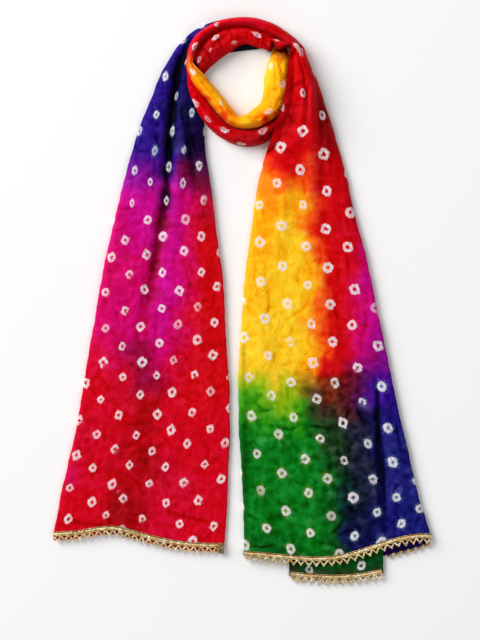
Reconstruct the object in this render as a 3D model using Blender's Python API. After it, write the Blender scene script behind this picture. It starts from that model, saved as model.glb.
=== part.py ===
"""Dupatta stole laid flat: one long cloth looped once into a neck ring, with two tails and gold lace.

Metres, +Z up, origin under the middle of the whole piece, +Y towards the neck ring.
Each stretch of cloth that shows is one solid. It is swept along the stretch from a short table of
sections: the two edges of the cloth as seen from above, and how high its crown stands off the floor.
A stretch that lies on others takes its underside from their top surfaces, moved up by a small gap.
"""

import math
from collections import namedtuple

import bmesh
import bpy
import numpy as np
from mathutils import Vector
from mathutils.bvhtree import BVHTree

MM = 0.001

# Driving sizes, in millimetres.
SEAM_GAP = 0.4            # left open between any two pieces
CREASE_GAP = 1.3          # between two rolls that lie side by side along one curved crease
TAIL_EDGE = 4.6           # folded edge of a tail: two rounded layers
ROLL_EDGE = 2.4           # edge of a rolled stretch
SHEET = 2.4               # one folded-under sheet, two thin cloths and air
LACE_BAND = 7.2           # width of the woven gold band
LACE_TOOTH = 9.6          # drop of a zigzag tooth below the band
LACE_CORD = 2.5           # width of the zigzag cord
LACE_THICK = 1.3
LACE_PITCH = 11.3         # tooth to tooth
LACE_TIP = 0.8            # half width of a tooth's blunt tip
LACE_ARM = 0.62           # cord width measured along the band, as a share of LACE_CORD
LEDGE_REACH = 8.0         # how far the left tail's under layer shows below its top layer
LEDGE_HEIGHT = 2.0
HEM_BULGE = 0.8           # how far a side edge rounds out where it meets a hem

# A crown is a superellipse: its power follows width over height, between a roll's and a flat stack's.
ROLL_POWER = 2.2
FLAT_POWER = 7.0
WIDTH_PER_POWER = 3.2

# How far a coarse underside is kept clear of what it lies on: under rolls, sheets and lace.
ROLL_REACH = 8.0
TIGHT_REACH = 6.0
WIDE_REACH = 10.0
SHEET_REACH = 28.0

# The height map that carries the upper stretches.
MAP_CELL = 2.0
MAP_HALF_X = 300.0
MAP_HALF_Y = 440.0

Section = namedtuple("Section", "outer_x outer_y inner_x inner_y crown")
Fold = namedtuple("Fold", "x0 y0 xm ym x1 y1 half_width rise")
HemPoint = namedtuple("HemPoint", "x y")

# Left tail, from the side of the neck ring down to the hem.
LEFT_TAIL = [
    Section(-103, 375, -60, 349, 11.0),
    Section(-119, 348, -62, 336, 13.0),
    Section(-134, 312, -62, 306, 15.0),
    Section(-149, 276, -58, 267, 15.0),
    Section(-166, 222, -55, 222, 14.0),
    Section(-188, 141, -43, 141, 12.0),
    Section(-211, 33, -30, 33, 10.0),
    Section(-230, -75, -23, -75, 8.6),
    Section(-248, -183, -19, -183, 7.4),
    Section(-272, -291, -23, -291, 6.4),
    Section(-284, -357, -27, -357, 6.0),
]

# Blue stretch that runs on behind the ring's top.
NAPE_UNDER = [
    Section(-102.6, 375.6, -59.5, 349.6, 10.6),
    Section(-90, 391, -50, 360, 10.0),
    Section(-76, 404, -40, 367, 9.5),
    Section(-49, 418, -20, 373, 9.0),
    Section(-19, 424, -1, 376, 9.0),
    Section(14, 418, 17, 378, 9.0),
    Section(44, 405, 32, 379, 8.5),
    Section(58, 388, 40, 374, 7.5),
]

# Inner red band over the nape, ending low under the yellow roll at the left.
NAPE_INNER = [
    Section(39, 400, 37.5, 379.5, 13.0),
    Section(29.5, 404, 30, 378, 19.0),
    Section(10.8, 410.6, 16, 382.5, 22.0),
    Section(-9.6, 411.8, 2, 385.5, 23.0),
    Section(-32.6, 408.6, -14, 376.5, 23.0),
    Section(-48.5, 400.2, -29, 366.5, 22.5),
    Section(-60.3, 388, -41, 357.5, 22.0),
    Section(-68.6, 375.5, -51, 349, 20.0),
    Section(-73, 365, -58, 338, 15.0),
]

# Outer red roll over the nape, from the yellow roll's tip to the right shoulder.
NAPE_OUTER = [
    Section(-84, 361.6, -73.3, 361.6, 22.0),
    Section(-81.3, 378, -68.6, 375.5, 24.5),
    Section(-74.5, 393, -60.3, 388, 26.0),
    Section(-59.5, 407.5, -48.5, 400.2, 26.5),
    Section(-38.5, 420, -32.6, 408.6, 26.5),
    Section(-11, 425.4, -9.6, 411.8, 26.5),
    Section(16, 425.2, 10.8, 410.6, 27.0),
    Section(41, 418.6, 29.5, 404, 27.5),
    Section(63, 406.6, 46, 396, 28.5),
    Section(82, 391.6, 61, 387.5, 29.5),
    Section(92.6, 378.8, 71.6, 377.6, 30.0),
]

# Turned-over fold where the strands cross at the right of the nape.
CROSSING_FOLD = [
    Section(38, 400, 33, 377, 24.0),
    Section(46, 396, 39, 374, 28.0),
    Section(54, 391.8, 50, 371.5, 28.0),
    Section(61, 387.5, 60, 373, 26.0),
    Section(69.5, 380, 67.5, 372.5, 21.0),
]

# Red roll round the throat, outside the yellow one; both ends run under other cloth.
THROAT_LOWER = [
    Section(-83, 337, -78.3, 337, 14.0),
    Section(-81.6, 322, -71.5, 324, 18.0),
    Section(-73.5, 298, -56.3, 304.6, 21.0),
    Section(-58, 269.5, -38, 281.5, 22.0),
    Section(-33, 246.5, -18.7, 263.6, 22.0),
    Section(-3, 233.4, 0.6, 258.4, 22.0),
    Section(25, 234.8, 22, 260.2, 21.0),
    Section(51, 249, 41.3, 269.6, 17.0),
    Section(69, 271, 58.6, 283.6, 13.0),
    Section(76.5, 296, 66.5, 301, 9.0),
]

# Yellow roll round the throat, from under the crossing fold to its tip on the left.
THROAT_UPPER = [
    Section(66, 373, 48, 374, 10.0),
    Section(71, 363, 41, 365, 17.0),
    Section(73, 349, 36, 351, 26.0),
    Section(72, 330, 32.3, 333, 27.0),
    Section(68, 307, 31, 311, 27.0),
    Section(58.6, 283.6, 25.5, 296, 26.5),
    Section(41.3, 269.6, 14, 286.6, 26.0),
    Section(22, 260.2, 2, 279.5, 26.0),
    Section(0.6, 258.4, -7, 279.5, 26.0),
    Section(-18.7, 263.6, -17, 291, 26.0),
    Section(-38, 281.5, -32, 309.5, 26.0),
    Section(-56.3, 304.6, -46.5, 327.5, 26.0),
    Section(-71.5, 324, -57.5, 339.5, 26.0),
    Section(-81.5, 343, -67.5, 351.5, 24.0),
    Section(-84, 361, -73.2, 361, 22.0),
]

# Right tail, from the shoulder down to the hem.
RIGHT_TAIL = [
    Section(93, 378.4, 72.2, 377.2, 30.0),
    Section(104, 349, 67.5, 352, 32.0),
    Section(116, 321, 65, 324, 32.0),
    Section(125, 292, 60, 295, 30.0),
    Section(134, 264, 50, 264, 27.0),
    Section(144, 228, 37, 228, 22.0),
    Section(154, 195, 28, 195, 18.5),
    Section(166, 141, 17, 141, 15.0),
    Section(184, 69, 8, 69, 13.0),
    Section(200, -3, 0, -3, 12.0),
    Section(215, -75, -5, -75, 11.5),
    Section(230, -147, -6, -147, 11.0),
    Section(247, -219, -4, -219, 10.6),
    Section(263, -291, 1, -291, 10.2),
    Section(283, -366, 2, -366, 9.8),
]

# Layer folded back under the right tail's outer edge.
BACK_LAYER = [
    Section(172, 108, 92, 108, SHEET),
    Section(196, 3, 86, 3, SHEET),
    Section(227, -147, 82, -147, SHEET),
    Section(262, -297, 80, -297, SHEET),
    Section(280, -362, 86, -362, SHEET),
]

# Fold tucked between the right tail and its back layer, longer than both.
TUCKED_FOLD = [
    Section(206, -237, 76, -237, SHEET),
    Section(210, -327, 71, -327, SHEET),
    Section(211, -404, 70, -404, SHEET),
]

# Cloth hems, as the lace's band meets them, left to right.
LEFT_HEM = [
    HemPoint(-284, -352), HemPoint(-244, -349), HemPoint(-214, -344), HemPoint(-191, -343),
    HemPoint(-169, -348), HemPoint(-139, -356), HemPoint(-109, -363), HemPoint(-79, -367),
    HemPoint(-49, -368.5), HemPoint(-27, -368.5),
]
RIGHT_HEM = [
    HemPoint(2, -380), HemPoint(29, -382), HemPoint(71, -386), HemPoint(116, -388.5),
    HemPoint(150, -385), HemPoint(190, -373), HemPoint(220, -363), HemPoint(250, -356),
    HemPoint(272, -354), HemPoint(284, -355),
]
TUCKED_HEM = [
    HemPoint(70, -411), HemPoint(104, -414.5), HemPoint(139, -416), HemPoint(176, -413.5),
    HemPoint(211, -407),
]
BACK_HEM = [
    HemPoint(86, -381), HemPoint(150, -381), HemPoint(190, -379), HemPoint(212, -377),
    HemPoint(236, -371), HemPoint(262, -364), HemPoint(282, -357),
]

# Largest folds: start, middle and end of the fold's line, its half width, and its rise or fall.
LEFT_FOLDS = [
    Fold(-84, 355, -100, 255, -118, 115, 10, -7.0),
    Fold(-118, 125, -130, 60, -160, -60, 12, -3.4),
    Fold(-110, 350, -130, 250, -152, 130, 14, 2.6),
    Fold(-72, 290, -78, 200, -84, 90, 13, 2.8),
    Fold(-84, 245, -92, 200, -100, 150, 6, -2.2),
    Fold(-205, 60, -196, -40, -205, -170, 12, 1.6),
    Fold(-60, 20, -64, -80, -52, -200, 12, 1.5),
    Fold(-250, -250, -190, -262, -120, -300, 12, -1.3),
    Fold(-150, -230, -100, -262, -48, -270, 11, 1.3),
    Fold(-196, -300, -190, -325, -192, -343, 14, 2.0),
]
RIGHT_FOLDS = [
    Fold(101, 352, 98, 300, 92, 180, 9, 3.0),
    Fold(115, 335, 119, 250, 122, 120, 8, -5.5),
    Fold(86, 318, 78, 280, 64, 240, 8, -3.2),
    Fold(64, 240, 60, 160, 46, 40, 12, 2.2),
    Fold(122, 120, 140, 0, 160, -130, 13, -2.4),
    Fold(30, 60, 24, -60, 40, -200, 14, 1.8),
    Fold(186, -40, 202, -150, 206, -340, 8, -2.6),
    Fold(100, -120, 120, -220, 96, -330, 14, 1.7),
    Fold(226, -200, 236, -260, 248, -330, 10, 1.5),
]
ROLL_FOLDS = [
    Fold(-60, 300, -36, 272, 6, 246, 5, -1.8),
    Fold(-48, 316, -26, 288, 4, 268, 5, -1.8),
    Fold(44, 352, 50, 322, 42, 292, 6, -1.6),
    Fold(-60, 398, -20, 418, 30, 411, 4, -1.2),
    Fold(-44, 384, -20, 396, 14, 396, 6, -1.8),
    Fold(36, 388, 50, 384, 66, 380, 4, -2.6),
]

RED = (0.66, 0.02, 0.03)
CRIMSON = (0.60, 0.015, 0.05)
VIOLET = (0.05, 0.02, 0.35)
YELLOW = (0.92, 0.50, 0.03)
GREEN = (0.01, 0.25, 0.03)
NAVY = (0.03, 0.02, 0.22)
GOLD = (0.72, 0.50, 0.20)


def clear_scene():
    """Remove what the scene already holds."""
    for thing in list(bpy.data.objects):
        bpy.data.objects.remove(thing, do_unlink=True)


def finish(name, colour, roughness, metallic):
    """One plain finish."""
    made = bpy.data.materials.new(name)
    made.use_nodes = True
    shader = made.node_tree.nodes["Principled BSDF"]
    shader.inputs["Base Color"].default_value = (*colour, 1.0)
    shader.inputs["Roughness"].default_value = roughness
    shader.inputs["Metallic"].default_value = metallic
    return made


def smooth_rows(rows, count, gather=1.0):
    """Rows read from a smooth curve through the table's rows, spaced along its middle line.

    A gather above 1 draws them together near the first row.
    """
    table = np.array([list(row) for row in rows], dtype=float)
    middle = 0.5 * (table[:, 0:2] + table[:, 2:4])
    steps = np.linalg.norm(np.diff(middle, axis=0), axis=1)
    along = np.concatenate([[0.0], np.cumsum(steps)])
    return through_points(along, table, along[-1] * np.linspace(0.0, 1.0, count) ** gather)


def through_points(knots, values, wanted):
    """Cubic Hermite curve through values at knots, with slopes from the neighbouring points."""
    slopes = np.gradient(values, knots, axis=0)
    place = np.clip(np.searchsorted(knots, wanted, side="right") - 1, 0, len(knots) - 2)
    span = knots[place + 1] - knots[place]
    u = ((wanted - knots[place]) / span)[:, None]
    span = span[:, None]
    start, end = values[place], values[place + 1]
    return ((2 * u ** 3 - 3 * u ** 2 + 1) * start + (u ** 3 - 2 * u ** 2 + u) * span * slopes[place]
            + (-2 * u ** 3 + 3 * u ** 2) * end + (u ** 3 - u ** 2) * span * slopes[place + 1])


def hem_line(hem, x):
    """The hem's y at each x, on a smooth curve through its points."""
    table = np.array([list(point) for point in hem], dtype=float)
    x = np.clip(np.atleast_1d(x), table[0, 0], table[-1, 0])
    return through_points(table[:, 0], table[:, 1:2], x)[:, 0]


def smooth_step(value):
    """0 below 0, 1 above 1, and a smooth rise between."""
    value = np.clip(value, 0.0, 1.0)
    return value * value * (3.0 - 2.0 * value)


def fold_height(x, y, folds):
    """Sum of the soft ridges and troughs at a point; each fades out at both ends."""
    height = np.zeros_like(x)
    for fold in folds:
        best = np.full_like(x, 1e9)
        share = np.zeros_like(x)
        line = [(fold.x0, fold.y0), (fold.xm, fold.ym), (fold.x1, fold.y1)]
        for part in range(2):
            (ax, ay), (bx, by) = line[part], line[part + 1]
            length = (bx - ax) ** 2 + (by - ay) ** 2
            u = np.clip(((x - ax) * (bx - ax) + (y - ay) * (by - ay)) / length, 0.0, 1.0)
            away = np.hypot(x - ax - u * (bx - ax), y - ay - u * (by - ay))
            nearer = away < best
            best = np.where(nearer, away, best)
            share = np.where(nearer, 0.5 * (part + u), share)
        fade = np.sin(math.pi * np.clip(share * 0.9 + 0.05, 0.0, 1.0))
        height += fold.rise * fade * np.exp(-(best / fold.half_width) ** 2)
    return height


class Heap:
    """Height map of the top of chosen solids, widened so that a coarse underside clears them."""

    def __init__(self, solids, reach):
        self.nx = int(2 * MAP_HALF_X / MAP_CELL) + 1
        self.ny = int(2 * MAP_HALF_Y / MAP_CELL) + 1
        self.top = np.zeros((self.nx, self.ny))
        for solid in solids:
            self.add(solid)
        self.widen(int(round(reach / MAP_CELL)))

    def add(self, solid):
        """Drop a ray on every cell under the solid's box."""
        mesh = solid.data
        points = [vertex.co for vertex in mesh.vertices]
        tree = BVHTree.FromPolygons(points, [tuple(face.vertices) for face in mesh.polygons])
        low_x = min(point.x for point in points) / MM
        high_x = max(point.x for point in points) / MM
        low_y = min(point.y for point in points) / MM
        high_y = max(point.y for point in points) / MM
        down = Vector((0.0, 0.0, -1.0))
        for i in range(self.column(low_x, MAP_HALF_X), self.column(high_x, MAP_HALF_X) + 2):
            for j in range(self.column(low_y, MAP_HALF_Y), self.column(high_y, MAP_HALF_Y) + 2):
                x = i * MAP_CELL - MAP_HALF_X
                y = j * MAP_CELL - MAP_HALF_Y
                hit = tree.ray_cast(Vector((x * MM, y * MM, 1.0)), down)[0]
                if hit is not None:
                    self.top[i, j] = max(self.top[i, j], hit.z / MM)

    @staticmethod
    def column(value, half):
        return int((value + half) / MAP_CELL)

    def widen(self, cells):
        """Highest value within reach, then softened over a quarter of it."""
        for axis in (0, 1):
            source = self.top.copy()
            for shift in range(-cells, cells + 1):
                self.top = np.maximum(self.top, np.roll(source, shift, axis))
        soft = max(1, cells // 4)
        for axis in (0, 1):
            source = self.top.copy()
            total = sum(np.roll(source, shift, axis) for shift in range(-soft, soft + 1))
            self.top = total / (2 * soft + 1)

    def height(self, x, y):
        """Height to rest at: the floor itself where nothing lies below."""
        gx = np.clip((x + MAP_HALF_X) / MAP_CELL, 0, self.nx - 1.001)
        gy = np.clip((y + MAP_HALF_Y) / MAP_CELL, 0, self.ny - 1.001)
        i, j = gx.astype(int), gy.astype(int)
        u, v = gx - i, gy - j
        level = ((1 - u) * (1 - v) * self.top[i, j] + u * (1 - v) * self.top[i + 1, j]
                 + (1 - u) * v * self.top[i, j + 1] + u * v * self.top[i + 1, j + 1])
        return np.where(level > 0.01, level + SEAM_GAP, 0.0)


class Rest:
    """The higher of several height maps."""

    def __init__(self, *heaps):
        self.heaps = heaps

    def height(self, x, y):
        return np.maximum.reduce([heap.height(x, y) for heap in self.heaps])


def across_places(count):
    """Places across a strip from 0 to 1, closer together near its edges."""
    even = np.linspace(0.0, 1.0, count)
    return 0.5 * even + 0.5 * (0.5 - 0.5 * np.cos(math.pi * even))


Form = namedtuple("Form", "top_count under_count edge least tuck wall")
Hem = namedtuple("Hem", "points level reach ledge")

# Wall columns: share of the edge's height, and how far that point sits in from the outline.
LAYERED_WALL = [(0.22, 0.0), (0.5, 1.3), (0.78, 0.0)]
ROUND_WALL = [(0.45, 0.0)]

TAIL_FORM = Form(17, 15, TAIL_EDGE, 3.0, 0.9, LAYERED_WALL)
ROLL_FORM = Form(11, 8, ROLL_EDGE, 5.0, 1.2, ROUND_WALL)
SHEET_FORM = Form(9, 9, SHEET, SHEET, 0.5, ROUND_WALL)


def hem_shift(hem, x, y):
    """How far the hem's curve moves a point of the straight table: fully at the hem, less above."""
    if hem is None:
        return np.zeros_like(x)
    share = 1.0 - smooth_step((y - hem.level) / hem.reach)
    return share * (hem_line(hem.points, x) - hem.level)


def ring_of(section, form, rest, folds, hem):
    """One closed cross-section of a strip: over the top, down one edge, back beneath, up the other."""
    outer = section[0:2]
    inner = section[2:4]
    crown = section[4]
    width = float(np.linalg.norm(inner - outer))
    side = (inner - outer) / width
    edge = form.edge

    def place(t):
        xy = outer[None, :] + t[:, None] * (inner - outer)[None, :]
        xy[:, 1] += hem_shift(hem, xy[:, 0], section[1])
        return xy

    over = across_places(form.top_count)
    xy = place(over)
    power = min(max(width / (WIDTH_PER_POWER * crown), ROLL_POWER), FLAT_POWER)
    dome = (1.0 - np.abs(2.0 * over - 1.0) ** power) ** (1.0 / power)
    base = rest.height(xy[:, 0], xy[:, 1])
    rise = fold_height(xy[:, 0], xy[:, 1], folds) * dome
    thin = edge + (form.least - edge) * dome
    top = np.maximum(edge + (crown - edge) * dome + rise, base + thin)
    ring = [(*point, z) for point, z in zip(xy, top)]

    tuck = form.tuck / width
    low = place(np.linspace(tuck, 1.0 - tuck, form.under_count))
    floor = rest.height(low[:, 0], low[:, 1])
    for level, inset in form.wall[::-1]:
        ring.append((*(xy[-1] - side * inset), base[-1] + (top[-1] - base[-1]) * level))
    ring += [(*point, z) for point, z in zip(low[::-1], floor[::-1])]
    for level, inset in form.wall:
        ring.append((*(xy[0] + side * inset), base[0] + (top[0] - base[0]) * level))
    return ring


def ledge_ring(ring, edge, reach):
    """A cross-section moved out past the hem and pressed down to the under layer's height."""
    return [(x, y - reach, LEDGE_HEIGHT * min(z / edge, 1.0)) for x, y, z in ring]


def trimmed(sections, outer_trim, inner_trim):
    """Sections with their outer or inner edge drawn in, to leave a crease beside a neighbour."""
    run = sections[:, 2:4] - sections[:, 0:2]
    run /= np.linalg.norm(run, axis=1)[:, None]
    sections[:, 0:2] += outer_trim * run
    sections[:, 2:4] -= inner_trim * run
    return sections


def sweep(name, rows, stations, form, material, rest, folds=(), hem=None, gather=1.0,
          outer_trim=0.0, inner_trim=0.0):
    """A closed solid swept through its cross-sections, capped at both ends."""
    sections = trimmed(smooth_rows(rows, stations, gather), outer_trim, inner_trim)
    rings = [ring_of(section, form, rest, folds, hem) for section in sections]
    if hem is not None:
        rounded = form._replace(wall=[(level, -HEM_BULGE * math.sin(math.pi * level))
                                      for level, _ in form.wall])
        for end in (0, -1):
            rings[end] = ring_of(sections[end], rounded, rest, folds, hem)
        if hem.ledge > 0.0:
            rings += [ledge_ring(rings[-1], form.edge, reach) for reach in (SEAM_GAP, hem.ledge)]
    return solid_from_rings(name, rings, material, form.top_count)


def solid_from_rings(name, rings, material, top_count):
    """Join equal rings side by side, close the ends, and point every face outwards."""
    size = len(rings[0])
    shape = bmesh.new()
    grid = [[shape.verts.new((x * MM, y * MM, z * MM)) for x, y, z in ring] for ring in rings]
    for row, after in zip(grid, grid[1:]):
        for k in range(size):
            shape.faces.new((row[k], row[(k + 1) % size], after[(k + 1) % size], after[k]))
    for ring in (grid[0], grid[-1]):
        for corners in end_triangles(ring, top_count):
            shape.faces.new(corners)
    bmesh.ops.triangulate(shape, faces=shape.faces[:])
    bmesh.ops.recalc_face_normals(shape, faces=shape.faces[:])
    return finished(name, shape, material)


def stoutness(corners, run):
    """A triangle's least height, seen along the cloth; a needle has nearly none."""
    a, b, c = (Vector((corner.co.xy.dot(run), corner.co.z)) for corner in corners)
    longest = max((b - a).length, (c - b).length, (a - c).length)
    return abs((b - a).cross(c - a)) / longest


def end_triangles(ring, top_count):
    """A strip of triangles that closes an end, between its top line and the line round below.

    Two ways to choose the next triangle are tried, and the one with the stouter worst triangle wins.
    """
    above = ring[:top_count]
    below = [ring[0]] + ring[top_count:][::-1] + [ring[top_count - 1]]
    run = (above[-1].co - above[0].co).xy.normalized()

    def strip(prefers_up):
        i = 0
        j = 1
        chosen = []
        while i < len(above) - 1 or j < len(below) - 2:
            up = (above[i], below[j], above[i + 1]) if i < len(above) - 1 else None
            down = (above[i], below[j], below[j + 1]) if j < len(below) - 2 else None
            go_up = down is None or (up is not None and prefers_up(up, down))
            chosen.append(up if go_up else down)
            i += 1 if go_up else 0
            j += 0 if go_up else 1
        return chosen

    by_place = strip(lambda up, down: up[2].co.xy.dot(run) <= down[2].co.xy.dot(run))
    by_shape = strip(lambda up, down: stoutness(up, run) >= stoutness(down, run))
    return max((by_place, by_shape), key=lambda strip: min(stoutness(t, run) for t in strip))


def finished(name, shape, material):
    """Turn a bmesh into a named object with its own material."""
    mesh = bpy.data.meshes.new(name)
    if shape.calc_volume(signed=True) < 0:
        bmesh.ops.reverse_faces(shape, faces=shape.faces[:])
    shape.to_mesh(mesh)
    shape.free()
    made = bpy.data.objects.new(name, mesh)
    bpy.context.collection.objects.link(made)
    mesh.materials.append(material)
    mesh.shade_smooth()
    mesh.set_sharp_from_angle(angle=math.radians(50))
    return made


def lace(name, hem, first_x, last_x, rest, material):
    """Gold edging: a flat band along the hem and a row of open zigzag teeth below it."""
    fine = np.linspace(first_x, last_x, 400)
    line = np.column_stack([fine, hem_line(hem, fine)])
    along = np.concatenate([[0.0], np.cumsum(np.linalg.norm(np.diff(line, axis=0), axis=1))])
    teeth = max(1, int(round(along[-1] / LACE_PITCH)))
    pitch = along[-1] / teeth

    def place(u, v):
        """u along the hem, v across it, positive up the cloth."""
        x = float(np.interp(u, along, line[:, 0]))
        y = float(np.interp(u, along, line[:, 1]))
        before = np.array([np.interp(u - 2.0, along, line[:, 0]), np.interp(u - 2.0, along, line[:, 1])])
        after = np.array([np.interp(u + 2.0, along, line[:, 0]), np.interp(u + 2.0, along, line[:, 1])])
        run = (after - before) / np.linalg.norm(after - before)
        return np.array([x - run[1] * v, y + run[0] * v])

    shape = bmesh.new()
    pairs = {}

    def corner(u, v):
        """The lower and upper vertex at one place, shared by the faces that meet there."""
        key = (round(u, 3), round(v, 3))
        if key not in pairs:
            x, y = place(u, v)
            low = float(rest.height(np.array([x]), np.array([y]))[0])
            low = max(low, SEAM_GAP)
            pairs[key] = tuple(shape.verts.new((x * MM, y * MM, z * MM)) for z in (low, low + LACE_THICK))
        return pairs[key]

    plates = []
    arm = LACE_CORD * LACE_ARM
    for tooth in range(teeth):
        left = tooth * pitch
        right = left + pitch
        middle = 0.5 * (left + right)
        columns = (left, left + arm, right - arm, right)
        for a, b in zip(columns, columns[1:]):
            plates.append([(a, 0.0), (b, 0.0), (b, LACE_BAND), (a, LACE_BAND)])
        apex = (middle, -LACE_TOOTH + LACE_CORD)
        tip_left = (middle - LACE_TIP, -LACE_TOOTH)
        tip_right = (middle + LACE_TIP, -LACE_TOOTH)
        plates.append([tip_left, apex, (left + arm, 0.0), (left, 0.0)])
        plates.append([apex, tip_right, (right, 0.0), (right - arm, 0.0)])
        plates.append([tip_left, tip_right, apex])

    used = {}
    for plate in plates:
        corners = [(round(u, 3), round(v, 3)) for u, v in plate]
        pieces = [corner(u, v) for u, v in plate]
        shape.faces.new([piece[1] for piece in pieces])
        shape.faces.new([piece[0] for piece in pieces][::-1])
        for a, b in zip(corners, corners[1:] + corners[:1]):
            used[(a, b)] = used.get((a, b), 0) + 1
    for a, b in used:
        if (b, a) not in used:
            low_a, high_a = pairs[a]
            low_b, high_b = pairs[b]
            shape.faces.new((high_a, low_a, low_b, high_b))
    bmesh.ops.triangulate(shape, faces=shape.faces[:])
    bmesh.ops.recalc_face_normals(shape, faces=shape.faces[:])
    return finished(name, shape, material)


def cloth(name, colour):
    """The stole's soft art silk, in one of its dyes."""
    return finish("cloth_" + name, colour, 0.55, 0.0)


def gold():
    """Metal-wrapped thread."""
    return finish("lace_gold", GOLD, 0.35, 1.0)


def build():
    """Lay the stretches in the order in which they lie on each other."""
    clear_scene()
    floor = Heap([], 0.0)
    left = sweep("left_tail", LEFT_TAIL, 36, TAIL_FORM, cloth("left_tail", CRIMSON), floor,
                 LEFT_FOLDS, Hem(LEFT_HEM, LEFT_TAIL[-1].outer_y, 110.0, LEDGE_REACH))
    under = sweep("nape_under", NAPE_UNDER, 14, ROLL_FORM, cloth("violet", VIOLET), floor)
    back = sweep("back_layer", BACK_LAYER, 18, SHEET_FORM, cloth("navy", NAVY), floor,
                 (), Hem(BACK_HEM, BACK_LAYER[-1].outer_y, 80.0, 0.0))
    tucked = sweep("tucked_fold", TUCKED_FOLD, 9, SHEET_FORM, cloth("dark_green", GREEN),
                   Heap([back], SHEET_REACH), (), Hem(TUCKED_HEM, TUCKED_FOLD[-1].outer_y, 80.0, 0.0))

    ring_rest = Heap([left, under], ROLL_REACH)
    inner = sweep("nape_inner", NAPE_INNER, 16, ROLL_FORM, cloth("red_inner", RED), ring_rest,
                  ROLL_FOLDS, outer_trim=CREASE_GAP)
    lower = sweep("throat_lower", THROAT_LOWER, 24, ROLL_FORM, cloth("red_lower", RED), ring_rest,
                  ROLL_FOLDS, inner_trim=CREASE_GAP)
    upper = sweep("throat_upper", THROAT_UPPER, 30, ROLL_FORM, cloth("yellow", YELLOW),
                  Heap([left, under, inner], TIGHT_REACH), ROLL_FOLDS)
    sweep("nape_outer", NAPE_OUTER, 24, ROLL_FORM, cloth("red_outer", RED), ring_rest, ROLL_FOLDS)
    crossing = sweep("crossing_fold", CROSSING_FOLD, 10, ROLL_FORM, cloth("red_fold", RED),
                     Heap([under, inner, upper], ROLL_REACH), ROLL_FOLDS, outer_trim=CREASE_GAP)

    lace("lace_left", LEFT_HEM, -283.0, -28.0, Heap([left], WIDE_REACH), gold())
    tucked_lace = lace("lace_tucked", TUCKED_HEM, 71.5, 209.5, Heap([tucked], TIGHT_REACH), gold())
    back_lace = lace("lace_back", BACK_HEM, 215.0, 281.5, Heap([back, tucked], WIDE_REACH), gold())
    right = sweep("right_tail", RIGHT_TAIL, 42, TAIL_FORM, cloth("right_tail", GREEN),
                  Rest(Heap([back, tucked, tucked_lace, back_lace], SHEET_REACH),
                       Heap([lower, upper, crossing], WIDE_REACH)),
                  RIGHT_FOLDS, Hem(RIGHT_HEM, RIGHT_TAIL[-1].outer_y, 110.0, 0.0), gather=1.3)
    lace("lace_right", RIGHT_HEM, 2.8, 283.0,
         Heap([right, tucked, back, back_lace, tucked_lace], WIDE_REACH), gold())


build()
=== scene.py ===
"""Looks of the dupatta stole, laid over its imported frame.

Tables are in millimetres, in the frame of the part: +Y towards the neck ring, +Z up, floor at 0.
The studio is in metres. Each stretch of cloth is a fine closed skin on the form of its solid, with
its own creases, dyes and tied spots. The gold lace is built from a ribbon, cords and beads.
"""

import math
from collections import namedtuple

import bpy
import numpy as np
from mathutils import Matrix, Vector


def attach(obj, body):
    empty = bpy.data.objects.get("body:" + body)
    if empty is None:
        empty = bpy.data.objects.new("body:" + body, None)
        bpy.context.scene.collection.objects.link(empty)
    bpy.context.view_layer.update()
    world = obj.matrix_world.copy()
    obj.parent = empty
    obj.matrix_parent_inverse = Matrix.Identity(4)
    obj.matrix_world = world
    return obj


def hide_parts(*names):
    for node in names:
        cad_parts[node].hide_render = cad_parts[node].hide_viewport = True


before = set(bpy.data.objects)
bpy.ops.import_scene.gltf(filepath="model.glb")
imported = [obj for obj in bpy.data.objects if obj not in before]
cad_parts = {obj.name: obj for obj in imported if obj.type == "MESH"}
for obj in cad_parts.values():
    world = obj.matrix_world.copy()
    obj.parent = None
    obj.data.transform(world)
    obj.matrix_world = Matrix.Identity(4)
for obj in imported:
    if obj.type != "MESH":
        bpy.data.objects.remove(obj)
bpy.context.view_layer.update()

MM = 0.001

# The picture's frame: 480 by 640 at 1.5 mm to a pixel, seen from far above.
CAMERA_HEIGHT = 5000.0
FRAME_HEIGHT = 960.0
FRAME_X, FRAME_Y = -3.75, -27.4
SENSOR = 36.0

# The studio, in metres: half the floor's side, how far the camera sees, and the sky's strength. A
# light has a name, a place, a width and its power in watts.
FLOOR_HALF = 6.0
FAR_SIGHT = 50.0
SKY_STRENGTH = 0.36
LIGHTS = (("key", (-4.7, 3.4, 3.8), 5.4, 560.0), ("fill", (3.0, -2.4, 5.0), 3.0, 50.0))

# Driving sizes of the part, in millimetres.
SEAM_GAP = 0.4
FLOOR_GAP = 0.15
CREASE_TRIM = 0.35
TAIL_EDGE = 4.6
ROLL_EDGE = 2.4
SHEET = 2.4
LACE_BAND = 7.2
LACE_TOOTH = 9.6
BARE_TOOTH = 6.4
LACE_PITCH = 11.3
LEDGE_REACH = 5.6
LEDGE_HEIGHT = 2.0
SPOT_RADIUS = 7.6
SPOT_STRAY = 5.0
LACE_CORD = 1.4
TURNED_CORD = 1.3
POINT_BEAD = 1.8
RETURN_BEAD = 1.3

# How boxy a section is: the power of its outline goes by its width over its crown, within limits.
ROLL_POWER = 2.2
FLAT_POWER = 7.0
WIDTH_PER_POWER = 3.2

# How far an underside is kept clear of what it lies on.
ROLL_REACH = 8.0
TIGHT_REACH = 6.0
WIDE_REACH = 10.0
SHEET_REACH = 28.0
LACE_REACH = 2.0

# The height maps: their cells, their half size, and the level under which the floor is bare.
MAP_CELL = 2.0
MAP_HALF = (300.0, 440.0)
MAP_BARE = 0.01

# How far up the cloth a hem's curve is felt.
TAIL_HEM_REACH = 110.0
SHEET_HEM_REACH = 80.0

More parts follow.
